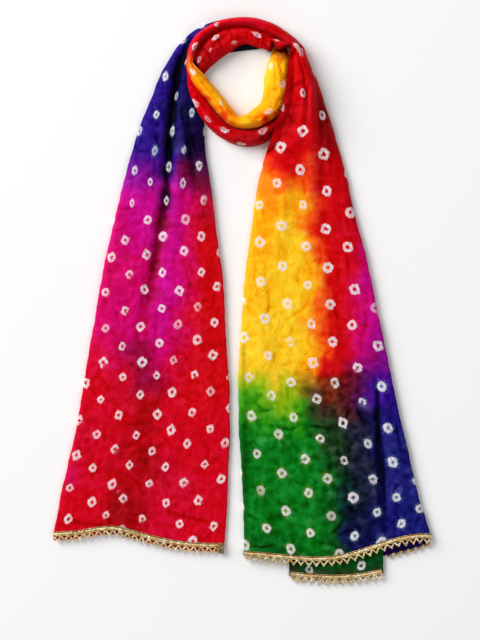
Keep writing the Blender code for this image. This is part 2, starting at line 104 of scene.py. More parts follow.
# Fineness of the skins and the lace, and the angles in degrees from which an edge is left sharp.
TAIL_STEP = 2.4
ROLL_STEP = 1.5
BAND_STEP = 0.85
BAND_ROWS = 19
CORD_SIDES = 6
BEAD_ROWS = 4
BEAD_SIDES = 7
CLOTH_SHARP = 70.0
LACE_SHARP = 48.0

CREASE_SEED = 11
SPOT_SEED = 5
NOISE_CELLS = 64
FAR = 1e9

# The dye: what keeps its logarithm finite, how fast a pool thins out, and the trace that goes far.
INK_FLOOR = 0.004
POOL_FALL = 0.72
POOL_TRACE = 0.0004

# The silk's material: the weave in radians to a millimetre. Each family of crease lines has a lean
# across the cloth and its own level of the noise.
WEAVE = 7.4
CREASE_FAMILIES = ((0.9, 3.0), (-0.5, 8.0), (-2.6, 13.0))

Section = namedtuple("Section", "outer_x outer_y inner_x inner_y crown", defaults=[SHEET])
Fold = namedtuple("Fold", "x0 y0 xm ym x1 y1 half_width rise")
HemPoint = namedtuple("HemPoint", "x y")
Pool = namedtuple("Pool", "x y reach dye")
Tie = namedtuple("Tie", "x y size turn breach faint")
Ghost = namedtuple("Ghost", "x y reach strength")
Wall = namedtuple("Wall", "share inset lift", defaults=[0.0])
Form = namedtuple("Form", "step edge least tuck wall relief")
Hem = namedtuple("Hem", "points level reach end")
Spots = namedtuple("Spots", "vector look")
Knots = namedtuple("Knots", "size narrow style turn spread whole")


def srgb(red, green, blue):
    """A colour from the usual 0 to 255 values, as linear light."""
    share = np.array([red, green, blue], dtype=float) / 255.0
    return np.where(share <= 0.04045, share / 12.92, ((share + 0.055) / 1.055) ** 2.4)


def palette(text):
    """Dyes by name, from rows of a name and its three levels."""
    rows = [row.split() for row in text.split(",")]
    return {name: srgb(*map(float, levels)) for name, *levels in rows}


DYES = palette("""
    RED 205 4 14, DEEP_RED 160 4 10, CRIMSON 205 6 42, ROSE 208 8 92, SCARLET 206 2 26, FUCHSIA 206 2 100,
    MAGENTA 198 4 128, PURPLE 126 10 134, ORCHID 160 12 142, PLUM 76 10 78, WINE 146 6 58, VIOLET 70 12 136,
    INDIGO 36 10 118, BLUE 23 23 107, NAVY 15 15 78, MIDNIGHT 26 8 62, INK 16 20 48, SLATE 27 30 52,
    UMBER 66 40 28, MAROON 112 12 40, RUST 122 42 16, OCHRE 196 140 24, MULBERRY 150 4 108, TEAL 8 46 48,
    FLAME 240 74 20, ORANGE 248 128 20, AMBER 252 170 12, YELLOW 252 200 34, LIME 150 182 22,
    LEAF 56 148 16, GREEN 6 116 24, DEEP_GREEN 6 84 22, MOSS 28 58 24, OLIVE 112 98 18, BROWN 84 26 22,
    WHITE 238 228 232, AQUA 112 176 206, PINE 4 62 22, WINE_EDGE 58 8 34""")
WHITE, YELLOW, LIME, AQUA = (DYES[name] for name in ("WHITE", "YELLOW", "LIME", "AQUA"))


def table(kind, text):
    """Rows of one kind, with commas between them. A word in a row is the name of a dye."""
    return [kind(*(DYES[word] if word in DYES else float(word) for word in row.split()))
            for row in text.split(",")]


LEFT_TAIL = table(Section, """
    -103 375 -60 349 11, -119 348 -62 336 13, -134 312 -62 306 15, -149 276 -58 267 15, -166 222 -55 222 14,
    -188 141 -43 141 12, -211 33 -30 33 10, -230 -75 -23 -75 8.6, -248 -183 -19 -183 7.4,
    -272 -291 -23 -291 6.4, -284 -357 -27 -357 6""")
NAPE_UNDER = table(Section, """
    -103.8 372.4 -60.6 346.6 10.2, -102.2 375.8 -59.3 349.8 10.6, -90 391 -50 360 10, -76 404 -40 367 9.5,
    -49 418 -20 373 9, -19 424 -1 376 9, 14 418 17 378 9, 44 405 32 379 8.5, 58 388 40 374 7.5""")
NAPE_INNER = table(Section, """
    39 400 37.5 379.5 13, 29.5 404 30 378 19, 10.8 410.6 16 382.5 22, -9.6 411.8 2 385.5 23,
    -32.6 408.6 -14 376.5 23, -48.5 400.2 -29 366.5 22.5, -60.3 388 -41 357.5 22, -68.6 375.5 -51 349 20,
    -73 365 -58 338 15""")
NAPE_OUTER = table(Section, """
    -84 361.4 -73.3 361.4 22, -81.3 378 -68.6 375.5 24.5, -74.5 393 -60.3 388 26,
    -59.5 407.5 -48.5 400.2 26.5, -38.5 420 -32.6 408.6 26.5, -11 425.4 -9.6 411.8 26.5,
    16 425.2 10.8 410.6 27, 41 418.6 29.5 404 27.5, 63 406.6 46 396 28.5, 82 391.6 61 387.5 29.5,
    92.8 378.6 70.6 377.4 30, 93.2 375.6 70.8 374.4 29.4""")
CROSSING_FOLD = table(Section, """
    34 401 30 380 22, 40 400 35.5 376 26, 44.5 398 40.5 373.6 27.5, 48.5 396 43.5 379.5 26.5,
    53 394 48.5 380 28.5, 58 391.5 54.5 377.6 30, 65 388.5 61 379.5 30, 73 385.5 67 382.5 28""")
THROAT_LOWER = table(Section, """
    -84.2 348 -82.2 348 5, -83 337 -78.3 337 14, -81.6 322 -71.5 324 18, -73.5 298 -56.3 304.6 21,
    -58 269.5 -38 281.5 22, -33 246.5 -18.7 263.6 22, -3 233.4 0.6 258.4 22, 25 234.8 22 260.2 21,
    51 249 41.3 269.6 17, 69 271 58.6 283.6 13, 76.5 296 66.5 301 9""")
THROAT_UPPER = table(Section, """
    66 382 46 383 9, 68 375 43.5 376 13, 71 364 40.5 366 19, 73 349 36 351 26, 72 330 32.3 333 27,
    68 307 31 311 27, 58.6 283.6 25.5 296 26.5, 41.3 269.6 14 286.6 26, 22 260.2 2 279.5 26,
    0.6 258.4 -7 279.5 26, -18.7 263.6 -17 291 26, -38 281.5 -32 309.5 26, -56.3 304.6 -46.5 327.5 26,
    -71.5 324 -57.5 339.5 26, -81.5 343 -67.5 351.5 24, -84 361.2 -73.2 361.2 22, -83.3 364 -72.8 364 21.6""")
RIGHT_TAIL = table(Section, """
    93 378.4 70.6 377.2 30, 104 349 67.5 352 32, 116 321 65 324 32, 125 292 60 295 30, 134 264 50 264 27,
    144 228 37 228 22, 154 195 28 195 18.5, 166 141 17 141 15, 184 69 8 69 13, 200 -3 0 -3 12,
    215 -75 -5 -75 11.5, 230 -147 -6 -147 11, 247 -219 -4 -219 10.6, 263 -291 1 -291 10.2,
    283 -366 2 -366 9.8""")
BACK_LAYER = table(Section, """
    172 108 92 108, 196 3 86 3, 227 -147 82 -147, 262 -297 80 -297, 280 -362 86 -362""")
TUCKED_FOLD = table(Section, "206 -237 76 -237, 210 -327 71 -327, 211 -404 70 -404")

# Cloth hems, as the lace's band meets them, left to right.
LEFT_HEM = table(HemPoint, """
    -284 -352, -244 -349, -214 -344, -191 -343, -169 -348, -139 -356, -109 -363, -79 -367, -49 -368.5,
    -27 -368.5""")
RIGHT_HEM = table(HemPoint, """
    2 -380, 29 -382, 71 -386, 116 -388.5, 150 -385, 190 -373, 220 -363, 250 -356, 272 -354, 284 -355""")
TUCKED_HEM = table(HemPoint, "70 -411, 104 -414.5, 139 -416, 176 -413.5, 211 -407")
BACK_HEM = table(HemPoint, "86 -381, 150 -381, 190 -383, 212 -381, 236 -375, 262 -368, 282 -361")

# Largest folds, as in the solids.
LEFT_FOLDS = table(Fold, """
    -70 420 -97 350 -106 285 7 -8, -97 350 -108 262 -113 187 7 -8, -108 262 -114 170 -123 107 8 -6.5,
    -114 170 -126 95 -137 27 9 -4.6, -126 95 -140 10 -158 -60 11 -3.2, -126 350 -142 250 -160 130 13 2.6,
    -86 290 -95 200 -104 90 8 2.8, -84 262 -77 215 -70 150 6 -3.4, -56 262 -54 200 -50 120 10 1.6,
    -205 60 -196 -40 -205 -170 12 1.6, -60 20 -64 -80 -52 -200 12 1.5,
    -250 -250 -190 -262 -120 -300 12 -1.3, -150 -230 -100 -262 -48 -270 11 1.3,
    -196 -300 -190 -325 -192 -343 14 2""")
RIGHT_FOLDS = table(Fold, """
    106 350 104 290 102 200 8 3.4, 95 322 93 285 90 236 4 -1.9, 114 345 117 290 119 230 6 -4,
    118 290 120 200 122 110 8 -3.8, 138 300 142 230 147 150 12 -2.6, 86 318 78 280 64 240 8 -3.2,
    64 240 60 160 46 40 12 2.2, 122 120 140 0 160 -130 13 -2.4, 30 60 24 -60 40 -200 14 1.8,
    200 -100 202 -170 208 -250 6 -2.8, 202 -170 206 -260 210 -350 7 -2.4, 100 -120 120 -220 96 -330 14 1.7,
    226 -200 236 -260 248 -330 10 1.5""")
ROLL_FOLDS = table(Fold, """
    -60 300 -36 272 6 246 5 -1.8, -48 316 -26 288 4 268 5 -1.8, 44 352 50 322 42 292 6 -1.6,
    -60 398 -20 418 30 411 4 -1.2, -44 384 -20 396 14 396 6 -1.8, 36 388 50 384 66 380 4 -2.6""")

# Painted shade: strokes along the valleys, folds and edges, and beside the ring, that darken the dye
# to stand for the shade there. Rise is the natural logarithm of how far it is darkened.
LEFT_PAINTED_SHADE = table(Fold, """
    -80 392 -97 345 -106 290 4 -2.2, -98 335 -108 262 -112 195 4 -1.7, -110 225 -114 165 -121 112 4.4 -0.9,
    -116 150 -124 95 -138 30 7 -0.25, -128 85 -140 10 -154 -40 10 -0.16, -82 380 -76 330 -62 280 7 -1.3,
    -66 330 -57 285 -55 245 9 -0.8, -104 335 -115 262 -120 200 6 -0.5, -86 290 -78 235 -70 180 6 -1,
    -88 345 -86 300 -84 240 12 -0.6, -60 300 -55 240 -50 170 8 -0.9, -94 340 -86 380 -64 412 8 -1.6,
    -62 160 -58 130 -50 100 8 -0.35, -100 292 -103 262 -101 228 5 -1.1,
    -186 -184 -155 -190 -122 -188 5 -0.25, -168 -190 -186 -230 -214 -262 7 -0.2,
    -150 -100 -160 -130 -176 -150 7 -0.22, -176 -250 -190 -290 -196 -338 10 -0.26,
    -100 -230 -120 -262 -112 -300 8 -0.16, -280 -320 -240 -334 -200 -332 5 -0.2""")
UNDER_PAINTED_SHADE = LEFT_PAINTED_SHADE[:9] + table(Fold, """
    -64 412 -40 424 -10 430 5 -1.2, -40 372 0 372 40 374 14 -1.6""")
RIGHT_PAINTED_SHADE = table(Fold, """
    97 322 95 285 92 240 3 -0.55, 98 345 106 330 116 300 4 -0.3, 122 330 124 280 124 215 6 -0.7,
    124 250 124 190 126 120 6 -0.16, 150 230 160 170 170 110 8 -0.25, 80 300 70 270 56 238 8 -0.3,
    200 -118 202 -180 205 -240 3 -0.45, 203 -215 209 -280 213 -345 3 -0.4, 3 -150 3 -240 6 -372 5 -1.2,
    4 -40 1 -90 2 -150 4 -0.5, 140 -180 156 -250 166 -330 15 -0.35, 20 -364 60 -374 110 -376 5 -0.4,
    196 -300 192 -340 176 -372 10 -0.4, 52 -40 44 -80 60 -110 8 -0.12""")

# Finer creases, placed one by one.
LEFT_CREASES = table(Fold, """
    -187 -176 -172 -183 -132 -183 2.8 -0.9, -187 -221 -162 -213 -134 -190 3 -1,
    -207 -183 -206 -200 -206 -214 2.3 -0.7, -211 -232 -216 -252 -229 -266 2.5 -0.8,
    -122 -195 -114 -206 -105 -221 2.1 -0.7, -124 -137 -127 -150 -130 -160 2.5 -0.6,
    -92 -72 -84 -84 -73 -99 2.1 -0.6, -114 -268 -110 -276 -105 -283 2 -0.6,
    -162 -127 -163 -152 -164 -174 4.9 0.7, -138 -42 -131 -35 -124 -28 2.3 -0.6,
    -112 -50 -104 -56 -96 -62 2.1 -0.6, -164 -321 -152 -318 -142 -315 2.1 -0.7,
    -118 -313 -84 -323 -32 -335 2.5 -1, -262 -329 -236 -334 -210 -335 2.6 -0.9,
    -200 150 -180 138 -160 141 2.6 -0.7, -170 236 -156 226 -142 222 2.5 -0.7,
    -178 176 -160 182 -138 200 3.3 0.6, -134 262 -128 240 -126 216 2.8 -0.7, -74 254 -72 234 -66 214 2.6 -1,
    -92 300 -90 280 -86 262 2.5 -0.9, -140 30 -150 12 -152 -14 2.6 -0.6, -196 -4 -186 -20 -184 -44 2.8 -0.6,
    -84 44 -78 24 -82 2 2.8 -0.7, -56 -52 -46 -70 -44 -92 2.6 -0.6, -222 -110 -206 -120 -196 -140 2.6 -0.7,
    -92 -140 -76 -150 -62 -148 2.5 -0.6, -60 -206 -50 -222 -52 -246 2.6 -0.7,
    -250 -212 -240 -226 -242 -246 2.5 -0.6, -172 -262 -158 -270 -150 -290 2.6 -0.7,
    -96 -292 -78 -298 -60 -292 2.5 -0.7""")
RIGHT_CREASES = table(Fold, """
    33 120 31 136 30 152 2.5 -0.7, 99 1 90 -13 64 -28 2.5 -1, 39 18 40 -8 28 -35 2.6 -0.9,
    51 -73 48 -84 46 -95 2.5 -0.8, 8 -82 12 -87 18 -92 2.1 -0.7, 54 -97 70 -92 85 -88 2.3 -0.7,
    12 -146 33 -163 52 -160 2.5 -0.9, 35 -183 73 -192 90 -181 2.5 -1, 96 -185 114 -187 130 -190 2.3 -0.9,
    165 -158 156 -170 149 -181 2.1 -1.1, 169 -160 176 -170 182 -179 2.1 -0.9,
    201 -122 203 -150 202 -185 2.5 -1.1, 202 -185 207 -212 203 -232 2.3 -1.2,
    203 -232 211 -252 214 -330 2.5 -1.2, 163 -228 157 -236 151 -244 2 -0.9,
    10 -210 16 -220 23 -229 2.1 -0.9, 8 -273 16 -278 25 -282 2 -0.8, 6 -317 14 -322 23 -326 2 -0.9,
    73 -263 84 -272 96 -278 2.3 -0.7, 6 -364 28 -368 52 -363 2.3 -1, 127 -351 142 -340 153 -322 2.3 -0.7,
    159 -311 168 -313 177 -312 2 -0.9, 124 -210 132 -240 128 -270 4.1 -0.6, 62 168 66 146 60 120 2.6 -0.7,
    88 190 94 170 92 150 2.5 -0.8, 40 100 52 84 50 60 3 0.7, 112 96 118 70 112 44 2.6 -0.7,
    150 84 158 62 160 36 2.6 -0.7, 88 60 82 40 86 18 2.5 -0.6, 20 60 18 34 24 8 2.5 -0.7,
    144 12 138 -10 146 -34 2.5 -0.8, 182 -2 186 -30 180 -54 2.6 -0.7, 104 -38 98 -58 108 -80 2.5 -0.8,
    74 -118 66 -132 70 -150 2.5 -0.7, 228 -178 234 -206 238 -230 2.5 -0.7,
    240 -268 226 -282 230 -306 2.5 -0.7, 50 -298 66 -306 84 -300 2.5 -0.7,
    104 -352 118 -362 134 -364 2.3 -0.7, 67 314 79 322 92 328 2.6 -2.2, 84 366 93 335 95 285 2.8 -2.4,
    98 360 111 318 119 240 3.2 -2.4, 78 360 74 330 76 300 3 -1.6, 66 286 74 270 88 262 2.8 -1.4,
    104 330 100 300 104 270 4 1.6, 56 240 66 226 80 220 2.8 -1.3, 128 250 134 220 132 190 3.4 -1.4,
    100 330 96 310 98 290 3.3 -1.2""")
ROLL_CREASES = table(Fold, """
    -80 334 -70 308 -50 282 2.6 -1.6, -50 282 -30 262 -8 250 2.6 -1.3, -70 338 -54 320 -40 300 2.6 -1.3,
    -30 300 -18 284 -6 274 2.4 -1.6, 4 276 20 274 34 282 2.6 -1.4, 54 360 60 340 58 318 3 -1.3,
    42 330 40 310 34 298 2.6 -1.2, 20 240 42 250 60 268 2.6 -1.4, -66 378 -54 394 -36 404 2.4 -1.6,
    -50 372 -38 388 -22 400 3 -1.4, -26 384 -8 394 8 392 3 -1.3, -6 402 12 400 30 392 2.6 -1.4,
    24 416 44 408 62 398 2.4 -1.5, -74 384 -64 398 -48 410 2.4 -1, 36 398 43 396 52 393 2 -5,
    43 390 45 384 44 376 2 -4.2, 34 396 36 388 33 380 2.2 -2.6, 50 388 60 386 72 386 3 1.4,
    64 384 67 378 66 368 2.2 -3.6, 50 378 58 374 66 376 2.4 -2.6, 62 366 56 352 58 336 2.4 -0.9,
    44 356 50 344 46 330 2.2 -0.8, 70 340 62 330 60 316 2.4 -0.8, 36 322 44 316 56 318 2.2 -0.8,
    66 304 56 302 48 292 2.2 -0.9, 50 278 44 284 30 284 2.2 -0.8, 28 266 14 270 6 280 2.2 -0.8,
    -10 268 -16 280 -14 290 2.2 -0.9, -24 272 -32 288 -40 296 2.2 -0.8, -44 286 -48 300 -58 308 2.2 -0.8,
    -20 404 -14 396 -16 386 2.2 -1.6, -44 398 -34 390 -30 378 2.2 -1.7, 4 408 8 398 6 388 2.2 -1.5,
    20 404 26 394 22 382 2.2 -1.7, -62 380 -54 374 -46 362 2.2 -1.5""")
HEM_CREASES = table(Fold, """
    84 -398 120 -402 160 -398 2.8 -0.7, 110 -388 150 -392 196 -388 2.8 -0.6,
    214 -352 236 -350 258 -346 2.8 -0.5""")

# Dye pools, placed one by one: middle, reach and dye. In the left tail, the INK, MIDNIGHT, NAVY, WINE
# and PLUM pools along the valley and between it and the ring are painted shade.
LEFT_DYES = table(Pool, """
    -76 388 30 INDIGO, -116 340 34 INDIGO, -142 286 34 INDIGO, -132 254 26 INDIGO, -160 250 22 INDIGO,
    -96 345 14 NAVY, -105 290 11 INK, -109 240 10 INK, -112 196 9 MIDNIGHT, -72 345 18 NAVY,
    -94 290 13 NAVY, -97 250 12 BLUE, -70 288 18 NAVY, -56 246 20 MIDNIGHT, -78 240 14 MIDNIGHT,
    -164 222 15 VIOLET, -140 224 15 INDIGO, -176 206 15 PURPLE, -150 202 15 PURPLE, -130 206 13 VIOLET,
    -96 226 10 BLUE, -84 222 9 PLUM, -96 206 9 VIOLET, -82 202 10 WINE, -60 208 16 PLUM, -178 180 15 ORCHID,
    -146 180 18 ORCHID, -158 194 9 PURPLE, -137 196 9 PURPLE, -118 150 9 PLUM, -100 182 10 PURPLE,
    -84 180 10 MULBERRY, -64 178 14 MAROON, -50 170 12 WINE, -188 156 13 MAGENTA, -192 140 13 FUCHSIA,
    -166 150 15 MAGENTA, -160 132 16 MAGENTA, -98 160 12 MAGENTA, -76 160 10 FUCHSIA, -138 138 17 MAGENTA,
    -121 118 8 WINE, -99 138 13 MAGENTA, -78 142 13 FUCHSIA, -56 136 14 CRIMSON, -200 104 15 ROSE,
    -174 98 22 MAGENTA, -142 98 19 MAGENTA, -124 86 8 WINE, -101 98 15 MAGENTA, -76 96 13 ROSE,
    -52 92 18 RED, -208 62 15 ROSE, -184 56 22 ROSE, -154 62 20 FUCHSIA, -130 54 9 WINE, -106 58 19 MAGENTA,
    -78 54 13 ROSE, -50 44 22 RED, -212 18 18 ROSE, -186 10 24 FUCHSIA, -152 18 18 FUCHSIA, -136 16 9 WINE,
    -112 14 20 MAGENTA, -82 6 14 ROSE, -48 -10 24 RED, -218 -36 20 ROSE, -192 -40 22 FUCHSIA,
    -158 -34 18 FUCHSIA, -122 -38 22 MAGENTA, -88 -42 17 ROSE, -48 -58 26 RED, -224 -84 22 CRIMSON,
    -194 -86 20 ROSE, -156 -80 18 WINE, -118 -82 20 FUCHSIA, -84 -88 17 CRIMSON, -46 -104 26 RED,
    -226 -126 26 SCARLET, -182 -126 24 CRIMSON, -138 -118 17 WINE, -100 -120 19 CRIMSON, -62 -134 26 RED,
    -232 -200 30 CRIMSON, -184 -176 28 SCARLET, -150 -168 18 DEEP_RED, -112 -172 28 SCARLET,
    -56 -190 36 SCARLET, -254 -258 10 ROSE, -236 -262 14 CRIMSON, -200 -248 28 SCARLET,
    -152 -240 20 DEEP_RED, -112 -262 26 CRIMSON, -60 -250 26 SCARLET, -240 -318 32 SCARLET,
    -178 -318 20 DEEP_RED, -122 -326 24 CRIMSON, -84 -300 18 CRIMSON, -46 -312 34 SCARLET""")
# Painted shade: the DEEP_RED pools near the right edge below the shoulder, on the flank turned from the
# light.
RIGHT_DYES = table(Pool, """
    86 360 34 RED, 76 310 26 RED, 102 300 15 RED, 130 300 18 DEEP_RED, 92 250 24 RED, 138 250 20 DEEP_RED,
    58 238 18 RED, 34 206 11 FLAME, 54 208 11 RED, 76 208 12 RED, 99 214 10 FLAME, 120 208 12 RED,
    142 206 16 RED, 26 176 12 ORANGE, 44 180 10 ORANGE, 62 178 11 FLAME, 82 178 10 ORANGE, 98 182 10 FLAME,
    112 176 9 RED, 134 180 14 RED, 154 172 12 RED, 22 150 14 AMBER, 42 148 12 ORANGE, 62 150 12 AMBER,
    82 148 12 AMBER, 98 146 9 ORANGE, 112 148 9 FLAME, 128 148 11 RED, 150 146 16 RED, 164 152 6 DEEP_RED,
    20 116 18 AMBER, 46 116 14 AMBER, 70 116 14 YELLOW, 90 116 11 ORANGE, 106 114 9 FLAME, 121 112 9 RED,
    142 112 14 RED, 162 112 11 CRIMSON, 176 114 8 ROSE, 16 80 20 AMBER, 44 78 14 AMBER, 66 80 15 YELLOW,
    88 78 12 YELLOW, 103 78 9 ORANGE, 117 76 9 FLAME, 134 78 12 RED, 152 78 12 RED, 168 76 10 CRIMSON,
    182 72 9 MAGENTA, 14 40 20 AMBER, 44 42 18 YELLOW, 74 40 18 YELLOW, 96 40 11 AMBER, 110 40 9 ORANGE,
    124 42 9 FLAME, 140 40 12 RED, 158 40 11 RED, 172 38 9 ROSE, 187 34 12 MAGENTA, 12 0 20 AMBER,
    42 2 20 YELLOW, 74 0 20 YELLOW, 98 0 11 AMBER, 112 2 9 FLAME, 127 0 9 FLAME, 143 0 11 RED,
    160 -2 10 CRIMSON, 174 -2 9 ROSE, 190 -4 14 MAGENTA, 14 -40 24 YELLOW, 52 -38 24 YELLOW,
    86 -40 14 YELLOW, 104 -40 10 ORANGE, 121 -40 11 FLAME, 140 -42 11 RED, 158 -42 10 CRIMSON,
    174 -44 11 FUCHSIA, 194 -44 14 MAGENTA, 209 -52 8 PURPLE, 14 -72 20 YELLOW, 48 -70 20 YELLOW,
    78 -70 16 YELLOW, 99 -70 11 AMBER, 114 -70 9 ORANGE, 127 -70 9 FLAME, 146 -72 11 RED, 163 -72 9 CRIMSON,
    178 -74 10 FUCHSIA, 196 -74 11 MULBERRY, 212 -76 10 PURPLE, 8 -98 16 YELLOW, 40 -96 16 YELLOW,
    72 -98 15 YELLOW, 96 -98 10 AMBER, 110 -99 8 ORANGE, 124 -100 9 RED, 144 -98 11 RED, 161 -98 9 WINE,
    178 -98 10 MULBERRY, 196 -100 10 PURPLE, 213 -102 11 PURPLE, 8 -121 12 LIME, 30 -120 12 LIME,
    50 -121 10 YELLOW, 70 -120 11 LIME, 90 -120 10 OCHRE, 107 -120 8 OCHRE, 121 -121 9 RUST,
    140 -120 10 RUST, 159 -121 10 MAROON, 178 -122 10 PLUM, 198 -122 11 VIOLET, 217 -126 12 VIOLET,
    10 -143 13 LEAF, 34 -142 12 LIME, 56 -143 11 LIME, 76 -142 10 LIME, 94 -142 10 OLIVE, 112 -143 9 UMBER,
    131 -142 10 RUST, 152 -143 11 BROWN, 174 -144 11 PLUM, 197 -144 12 VIOLET, 220 -148 14 INDIGO,
    12 -165 14 LEAF, 38 -164 13 LEAF, 62 -165 12 LIME, 84 -164 11 LEAF, 103 -165 9 MOSS, 121 -166 10 UMBER,
    142 -166 11 UMBER, 163 -167 11 BROWN, 184 -168 11 MIDNIGHT, 203 -168 11 NAVY, 226 -172 15 INDIGO,
    12 -188 14 GREEN, 36 -187 13 LEAF, 60 -188 12 GREEN, 82 -187 12 LEAF, 102 -188 10 GREEN,
    119 -189 10 MOSS, 138 -190 11 MOSS, 159 -191 12 SLATE, 181 -192 12 SLATE, 203 -193 12 NAVY,
    229 -198 16 BLUE, 14 -216 18 GREEN, 48 -214 18 GREEN, 82 -214 15 GREEN, 106 -215 11 GREEN,
    125 -216 10 MOSS, 144 -217 11 MOSS, 164 -218 12 SLATE, 185 -220 12 SLATE, 205 -222 12 NAVY,
    233 -226 17 BLUE, 30 -246 26 GREEN, 80 -242 22 GREEN, 108 -242 12 GREEN, 127 -243 10 DEEP_GREEN,
    146 -244 11 MOSS, 166 -246 12 SLATE, 187 -248 12 SLATE, 208 -250 12 NAVY, 238 -256 18 BLUE,
    24 -290 36 GREEN, 84 -272 28 GREEN, 120 -270 13 GREEN, 139 -272 12 DEEP_GREEN, 158 -274 12 TEAL,
    180 -276 14 SLATE, 202 -282 13 NAVY, 228 -288 18 BLUE, 252 -294 20 BLUE, 30 -336 36 GREEN,
    84 -324 30 GREEN, 118 -314 14 DEEP_GREEN, 138 -314 12 DEEP_GREEN, 154 -317 11 TEAL, 172 -320 13 INK,
    192 -326 13 NAVY, 216 -330 13 BLUE, 250 -334 28 BLUE, 40 -374 32 DEEP_GREEN, 96 -370 26 GREEN,
    138 -364 14 DEEP_GREEN, 164 -358 13 NAVY, 196 -358 16 NAVY, 232 -360 20 BLUE""")
NAPE_DYES = table(Pool, """
    -84 366 11 ORANGE, -80 377 11 CRIMSON, -60 400 28 SCARLET, -20 420 30 RED, 10 420 20 SCARLET,
    36 412 10 CRIMSON, 58 404 30 RED, 90 380 30 DEEP_RED""")
INNER_DYES = table(Pool, "-60 360 26 DEEP_RED, -20 392 40 RED, 30 392 40 RED")
LOWER_DYES = table(Pool, """
    -83 342 9 ROSE, -80 328 10 CRIMSON, -72 302 26 RED, -40 262 34 RED, 10 240 34 DEEP_RED,
    62 272 34 DEEP_RED""")
# Painted shadow: the RUST pool at the upper end of the roll, under the crossing fold.
UPPER_DYES = table(Pool, """
    -84 362 9 FLAME, -78 344 9 ORANGE, -70 320 6 FLAME, -62 340 12 AMBER, -56 300 6 ORANGE,
    -40 306 20 AMBER, -14 276 20 AMBER, -26 268 6 ORANGE, 20 262 8 ORANGE, 14 278 16 AMBER, 48 292 26 AMBER,
    40 344 20 YELLOW, 62 340 20 AMBER, 58 366 10 AMBER, 58 376 9 RUST, -64 314 4 FLAME, -54 301 4 RED,
    -42 287 4 FLAME, -28 273 5 RED, -16 263 4 FLAME, -2 258 4 RED, 10 258 4 ORANGE, 24 260 4 FLAME,
    38 267 4 RED, 50 275 4 FLAME, 60 285 4 RED, 71 322 4 FLAME, 72 344 3 RED""")
# Painted shade: the wide INK pool on the strand under the ring.
UNDER_DYES = LEFT_DYES[:11] + table(Pool, "-86 396 30 INDIGO, -50 420 24 INDIGO, 10 400 50 INK")
TUCKED_DYES = table(Pool, """
    90 -394 30 PINE, 140 -390 30 DEEP_GREEN, 200 -392 30 PINE, 150 -300 60 GREEN, 78 -404 5 BROWN,
    92 -406 5 BROWN, 106 -407 5 UMBER, 120 -408 5 BROWN, 134 -408 5 UMBER, 148 -407.5 5 BROWN,
    162 -406.5 5 BROWN, 176 -404.5 5 UMBER, 190 -402.5 5 BROWN, 204 -400 5 BROWN""")
BACK_DYES = table(Pool, """
    208 -384 4 WINE_EDGE, 219 -382 4 WINE_EDGE, 230 -379 4 WINE_EDGE, 241 -376 4 WINE_EDGE,
    252 -373 4 WINE_EDGE, 263 -370 4 WINE_EDGE, 274 -367 4 WINE_EDGE, 270 -350 50 NAVY, 232 -362 40 INDIGO,
    160 -330 60 NAVY, 190 60 90 DEEP_RED, 210 -120 70 PURPLE""")
# Painted shade: the two small MAROON pools, in the dark pockets beside the crossing fold.
CROSSING_DYES = table(Pool, "50 385 30 RED, 44 376 5 MAROON, 68 379 4 MAROON")

# Tied spots placed one by one: middle, size, turn in half turns, how much of the ring is missing,
# and faintness.
NAPE_TIES = table(Tie, """
    -71 381 0.95 0.45 0.4 0, -38 414 0.55 0.2 1 0.1, 62 406 0.6 0.8 1 0.3, 81 381 1 0.35 0.4 0""")
INNER_TIES = table(Tie, """
    -40 395 0.85 0.65 0.7 0, 22 399 1 0.1 0.7 0, -13 387 0.75 0 0.7 0.55, -64 362 0.7 0.6 0.7 0.45,
    -48 376 0.4 0.6 1 0.4""")
CROSSING_TIES = table(Tie, "51 391 0.6 0.95 0.7 0.15")
LOWER_TIES = table(Tie, """
    -71 297 0.95 0.2 0.4 0, -27 257 0.95 0.9 0.7 0, -3 236 0.9 0.6 0.4 0.1, 30 256 1.05 0.15 0.4 0.5,
    -52 272 0.8 0.4 0.7 0.55""")
UPPER_TIES = table(Tie, """
    -74 343 0.8 0.3 0.7 0, -31 297 0.7 0.7 0.7 0.1, -47 288 0.7 0.1 0.7 0.2, 42 351 0.75 0.3 0.4 0,
    60 325 0.85 0.7 0.7 0.2, 39 284 0.95 0.35 0.4 0.35, 10 259 0.8 0.1 0.7 0.1""")
UNDER_TIES = table(Tie, "-92 394 0.9 0.3 0.6 0, -62 413 0.9 0.8 0.6 0")
TUCKED_TIES = table(Tie, "101 -402 0.95 0.3 0.4 0.25, 179 -396 1 0.6 0.1 0")

# Pale blurs where another layer of the folded cloth was tied.
RIGHT_GHOSTS = table(Ghost, """
    30 -208 9 0.55, 62 -212 10 0.5, 96 -222 10 0.7, 133 -224 9 0.7, 166 -218 8 0.55, 188 -204 9 0.5,
    134 -292 10 0.6, 232 -284 12 0.6, 188 -158 9 0.55, 74 -318 9 0.5, 100 -330 8 0.5, 124 -366 7 0.7,
    26 -262 8 0.4, 180 -326 8 0.4, 150 -166 9 0.4, 206 -350 6 0.7, 46 -164 9 0.4, 196 -286 9 0.4,
    150 52 8 0.28, 146 26 7 0.2, 104 214 9 0.3, 162 -246 8 0.4, 118 -262 9 0.35, 250 -252 8 0.35""")
LEFT_GHOSTS = table(Ghost, """
    -96 226 8 0.4, -100 172 8 0.4, -88 -54 8 0.3, -116 100 8 0.3, -230 -200 8 0.3, -92 -150 8 0.25""")

# Side walls from the top down: share of the height, how far in, and how far above that share.
LAYERED = table(Wall, "0.96 0.5, 0.86 0.05, 0.74 0, 0.6 0.5, 0.51 1.5, 0.42 0.5, 0.28 0, 0.12 0.1")
ROUNDED = table(Wall, "0.86 0.1, 0.62 -0.1, 0.38 0, 0.14 0.35")
